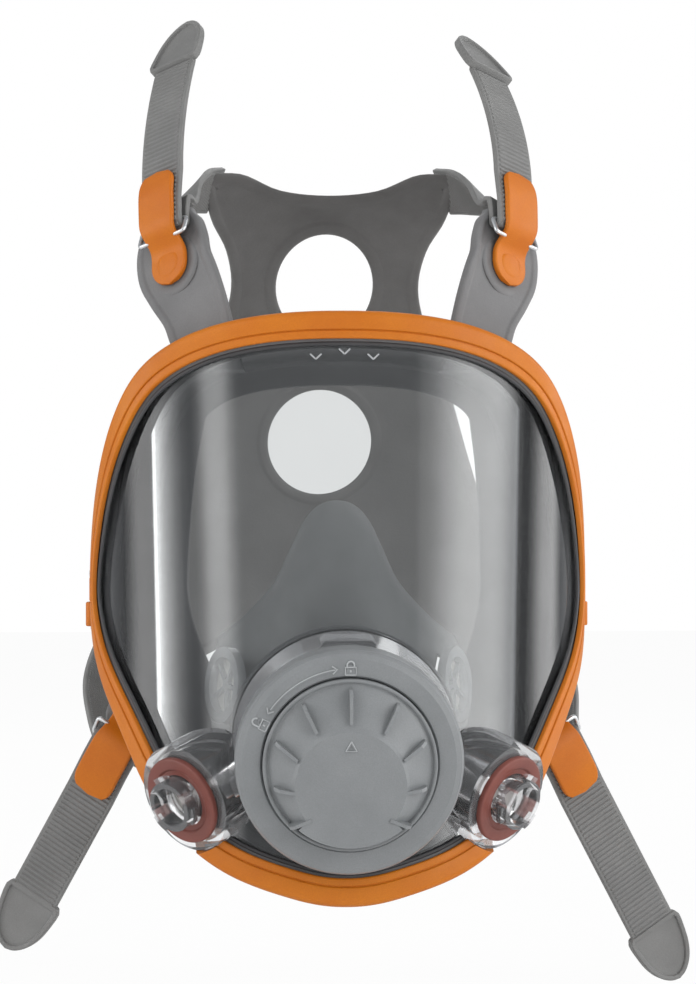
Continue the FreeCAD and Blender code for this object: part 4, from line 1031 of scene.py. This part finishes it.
def cup_ring(y, top, bottom, half, wide, inward):
    """A pear-shaped section: narrow over the nose bridge, wide at the cheeks and round under the chin."""
    ease = min(max((top - wide) / 50.0, 0.0), 1.0)
    right = []
    for share_x, share_z in CUP_BRIDGE:
        plain = math.sqrt(1 - share_z ** 2)
        right.append((half * (share_x * ease + plain * (1 - ease)), wide + (top - wide) * share_z))
    for i in range(1, 9):
        a = math.radians(90 * i / 8)
        right.append((half * math.cos(a) ** 0.9 if i < 8 else 0.0, wide - (wide - bottom) * math.sin(a)))
    outline = catmull(both_sides(right), 4, closed=True)
    return [(x, y, z) for x, z in inset(outline, inward)]


def make_nose_cup():
    stations = catmull(CUP_STATIONS, 8)
    last_y, *last = stations[-1]
    outer = [cup_ring(*station, 0.0) for station in stations]
    roll = [cup_ring(last_y + rise, *last, inward) for rise, inward in CUP_ROLL]
    inner = [cup_ring(*station, CUP_THICK) for station in stations[::-1]]
    cup = make_object("cup", *skin(outer + roll + inner, True), CUP, 45)
    for _, flip in HANDS:
        carve(cup, *disc(13.3, -9, 9, 48, CHECK_VALVE), mirror=flip)
    carve(cup, *disc(46, -41.9, -20, 64, PORT))
    collar = make_object("cup_collar", *turned([(26.4, -51), (29.4, -51.4), (30.2, -50.6), (30.2, -42.6),
                                                (29.4, -42.0), (26.4, -42.0)], 96, PORT), CUP, 45)
    for piece in (cup, collar):
        attach(piece, "facepiece", "nose_cup")


# ---- ports, cap and signs ----
SIGN_RADIUS = 31.5            # of the turn arrow on the cover ring
OPEN_SIGN = 65.0              # degrees from the closed padlock to the open one


def make_gaskets():
    """Flat washers with a raised outer land round the bayonet tubes."""
    profile = rounded([(8.95, 0.2), (15.0, 0.2), (15.0, 2.2), (11.2, 2.2), (10.7, 1.35), (8.95, 1.35)],
                      [0.1, 0.3, 0.7, 0.5, 0.3, 0.2], 3)
    for hand, flip in HANDS:
        gasket = make_object("gasket_" + hand, *turned(profile, 72, FILTER), GASKET, 50, flip)
        attach(gasket, "facepiece", "port_gasket_" + hand)


def sign_strip(path, width, low=-0.5, high=0.28):
    """A thin raised line along a flat path on the cover ring."""
    path = [np.asarray(p, float) for p in path]
    rings = []
    for i, p in enumerate(path):
        run = run_at(path, i)
        across = np.array((-run[1], run[0])) * width / 2
        section = [(-1, low), (1, low), (1, high - 0.08), (0.6, high), (-0.6, high), (-1, high - 0.08)]
        rings.append([PORT.point(*(p + across * share), height) for share, height in section])
    return skin(rings)


def turned_path(path, degrees):
    a = math.radians(degrees)
    return [(x * math.cos(a) - y * math.sin(a), x * math.sin(a) + y * math.cos(a)) for x, y in path]


def make_cap_details():
    """The cap's raised rim and its pointer."""
    section = rounded([(26.7, 0.7), (28.35, 0.7), (28.35, 2.0), (27.3, 2.0)], [0.1, 0.1, 0.35, 0.5])
    rim = turned(section, 128, PORT)
    pointer = sign_strip([(0.0, 9.2), (-1.8, 6.0), (1.8, 6.0), (0.0, 9.2)], 0.4, 7.2, 7.9)
    for name, shape, material in (("cap_rim", rim, COVER), ("cap_pointer", pointer, SIGN)):
        attach(make_object(name, *shape, material), "twist_cap")


def padlock(turn, lift):
    """A padlock sign: outlined body, shackle and key slot. Lift opens the shackle."""
    body = [(-1.7, 29.4), (1.7, 29.4), (1.7, 31.9), (-1.7, 31.9), (-1.7, 29.4)]
    angles = [math.radians(180 - 18 * i) for i in range(11)]
    shackle = [(-1.15, 31.9)] + [(1.15 * math.cos(a), 32.7 + lift + 1.15 * math.sin(a)) for a in angles]
    if not lift:
        shackle.append((1.15, 31.9))
    slot = [(0, 30.3), (0, 31.1)]
    return joined(*[sign_strip(turned_path(line, turn), 0.5) for line in (body, shackle, slot)])


def make_signs():
    """Closed and open padlocks on the cover ring, with the turn arrow between them."""
    angles = [math.radians(a) for a in range(99, 146, 2)]
    strips = [padlock(0.0, 0.0), padlock(OPEN_SIGN, 0.9),
              sign_strip([(SIGN_RADIUS * math.cos(a), SIGN_RADIUS * math.sin(a)) for a in angles], 0.35)]
    for way, turn in ((1.5, 57.5), (-1.5, 8.0)):
        head = [(way, SIGN_RADIUS - 1.3), (0.0, SIGN_RADIUS), (way, SIGN_RADIUS + 1.3)]
        strips.append(sign_strip(turned_path(head, turn), 0.45))
    attach(make_object("cover_signs", *joined(*strips), SIGN), "facepiece")


def visor_spot(x, z):
    """A frame on the visor's outer face, upright."""
    depth = VISOR_DEPTH - VISOR_LEAN * z
    y = -depth * (1 - (abs(x) / VISOR_HALF_WIDTH) ** VISOR_POWER) ** (1 / VISOR_POWER)
    return Spot((x, y, z), (0, 0, 1), visor_normal((x, y, z)))


def make_visor_marks():
    """Three small moulded chevrons under the frame's top edge, which line the visor up in its frame."""
    strokes = []
    for x, z in ((0.0, 84.9), (-9.6, 83.2), (9.6, 83.2)):
        spot = visor_spot(x, z)
        for way in (-1, 1):
            start, end = np.array((way * 1.9, 0.9)), np.array((0.0, -0.9))
            run = unit(end - start)
            across = np.array((-run[1], run[0])) * 0.28
            corners = [start - across, start + across, end + across, end - across]
            strokes.append(layered(spot, corners, [(0.0, -0.2), (0.0, 0.12), (0.12, 0.22)]))
    attach(make_object("visor_marks", *joined(*strokes), SIGN), "facepiece")


# ---- stage, light and camera ----
CAMERA_PLACE = (-0.0553, -1.1285, 0.038)
CAMERA_YAW = -3.0
FOCAL_LENGTH = 118.3          # for a 36 mm sensor on the picture's long side
FLOOR_HALF = 3.0
FLOOR_GAP = 0.0005            # between the floor and the object's lowest point
FLOOR_GLOW = 0.94             # share of the floor's plain white in what the camera sees
SOFTBOX_EDGE, SOFTBOX_MIDDLE = 0.12, 1.25      # strength at a softbox's upright edges and at its middle
AIM = Vector((0, 0, 0.03))    # where the softboxes point
# softboxes: azimuth from the front towards +X, height of the centre, distance, width, height, radiance
SOFTBOXES = [(47.0, 0.15, 1.30, 1.25, 1.7, 2.0), (98.0, 0.10, 1.30, 0.95, 1.6, 1.9),
             (-80.0, 0.10, 1.30, 1.25, 1.6, 1.5), (-37.0, 0.10, 1.30, 0.44, 1.7, 1.3),
             (-45.0, 1.1, 1.3, 0.6, 0.6, 2.0), (172.0, 0.75, 1.3, 1.0, 0.6, 1.2)]


def stage_material():
    """Pale paper that stays near white to the camera, whatever the lights do."""
    g = Graph(bpy.data.materials.new("pale_paper"))
    paper = g.mix(g.ramp(g.noise(30.0), 0.0, 1.0), (0.86, 0.86, 0.86, 1), (0.9, 0.9, 0.9, 1))
    glow = g.add("Emission", Color=WHITE, Strength=1.0)[0]
    share = g.math("MULTIPLY", g.add("LightPath")["Is Camera Ray"], FLOOR_GLOW)
    return g.finish(g.cover(share, g.add("BsdfDiffuse", Color=paper)[0], glow))


def make_stage():
    low, h = cad_low.z - FLOOR_GAP, FLOOR_HALF
    mesh = bpy.data.meshes.new("floor")
    mesh.from_pydata([(-h, -h, low), (h, -h, low), (h, h, low), (-h, h, low)], [], [(0, 1, 2, 3)])
    mesh.materials.append(stage_material())
    add_to_scene("floor", mesh)


def make_world():
    """Soft light from everywhere: dimmer and bluer in reflections, and plain white to the camera."""
    world = bpy.data.worlds.new("studio")
    bpy.context.scene.world = world
    g = Graph(world, "OutputWorld")
    path = g.add("LightPath")
    ambient = g.add("Background", Color=WHITE, Strength=0.55)[0]
    reflected = g.add("Background", Color=(0.93, 0.96, 1.0, 1.0), Strength=0.38)[0]
    seen = g.add("Background", Color=WHITE, Strength=1.0)[0]
    g.finish(g.cover(path["Is Camera Ray"], g.cover(path["Is Glossy Ray"], ambient, reflected), seen))


def soften(light):
    """Makes a softbox fade towards its two upright edges."""
    g = Graph(light, "OutputLight")
    across = g.add("SeparateXYZ", i0=g.add("NewGeometry")["Parametric"])[0]
    fades = []
    for edge, full in ((0.0, 0.4), (1.0, 0.6)):
        limits = {"Value": across, "From Min": edge, "From Max": full, "To Min": SOFTBOX_EDGE,
                  "To Max": SOFTBOX_MIDDLE}
        fades.append(g.add("MapRange", {"interpolation_type": "SMOOTHSTEP"}, **limits)[0])
    g.finish(g.add("Emission", Color=WHITE, Strength=g.math("MULTIPLY", *fades))[0])


def make_lights():
    for number, (azimuth, height, distance, width, tall, radiance) in enumerate(SOFTBOXES):
        name = "softbox_%d" % number
        light = bpy.data.lights.new(name, "AREA")
        light.shape = "RECTANGLE"
        light.size = width
        light.size_y = tall
        light.energy = radiance * math.pi * width * tall
        soften(light)
        box = add_to_scene(name, light)
        a = math.radians(azimuth)
        box.location = (distance * math.sin(a), -distance * math.cos(a), height)
        box.rotation_euler = (AIM - box.location).to_track_quat("-Z", "Y").to_euler()
        box.visible_camera = False


def make_camera():
    data = bpy.data.cameras.new("camera")
    data.lens = FOCAL_LENGTH
    data.sensor_width = 36.0
    camera = add_to_scene("camera", data)
    camera.location = CAMERA_PLACE
    camera.rotation_euler = (math.radians(90), 0, math.radians(CAMERA_YAW))
    bpy.context.scene.camera = camera
    bpy.context.scene.view_settings.view_transform = "Standard"


# ---- build ----
dress_cad_nodes()
make_frame()
make_seal()
make_lens()
make_buckles()
make_straps()
make_harness()
make_nose_cup()
make_gaskets()
make_cap_details()
make_signs()
make_visor_marks()
make_stage()
make_world()
make_lights()
make_camera()
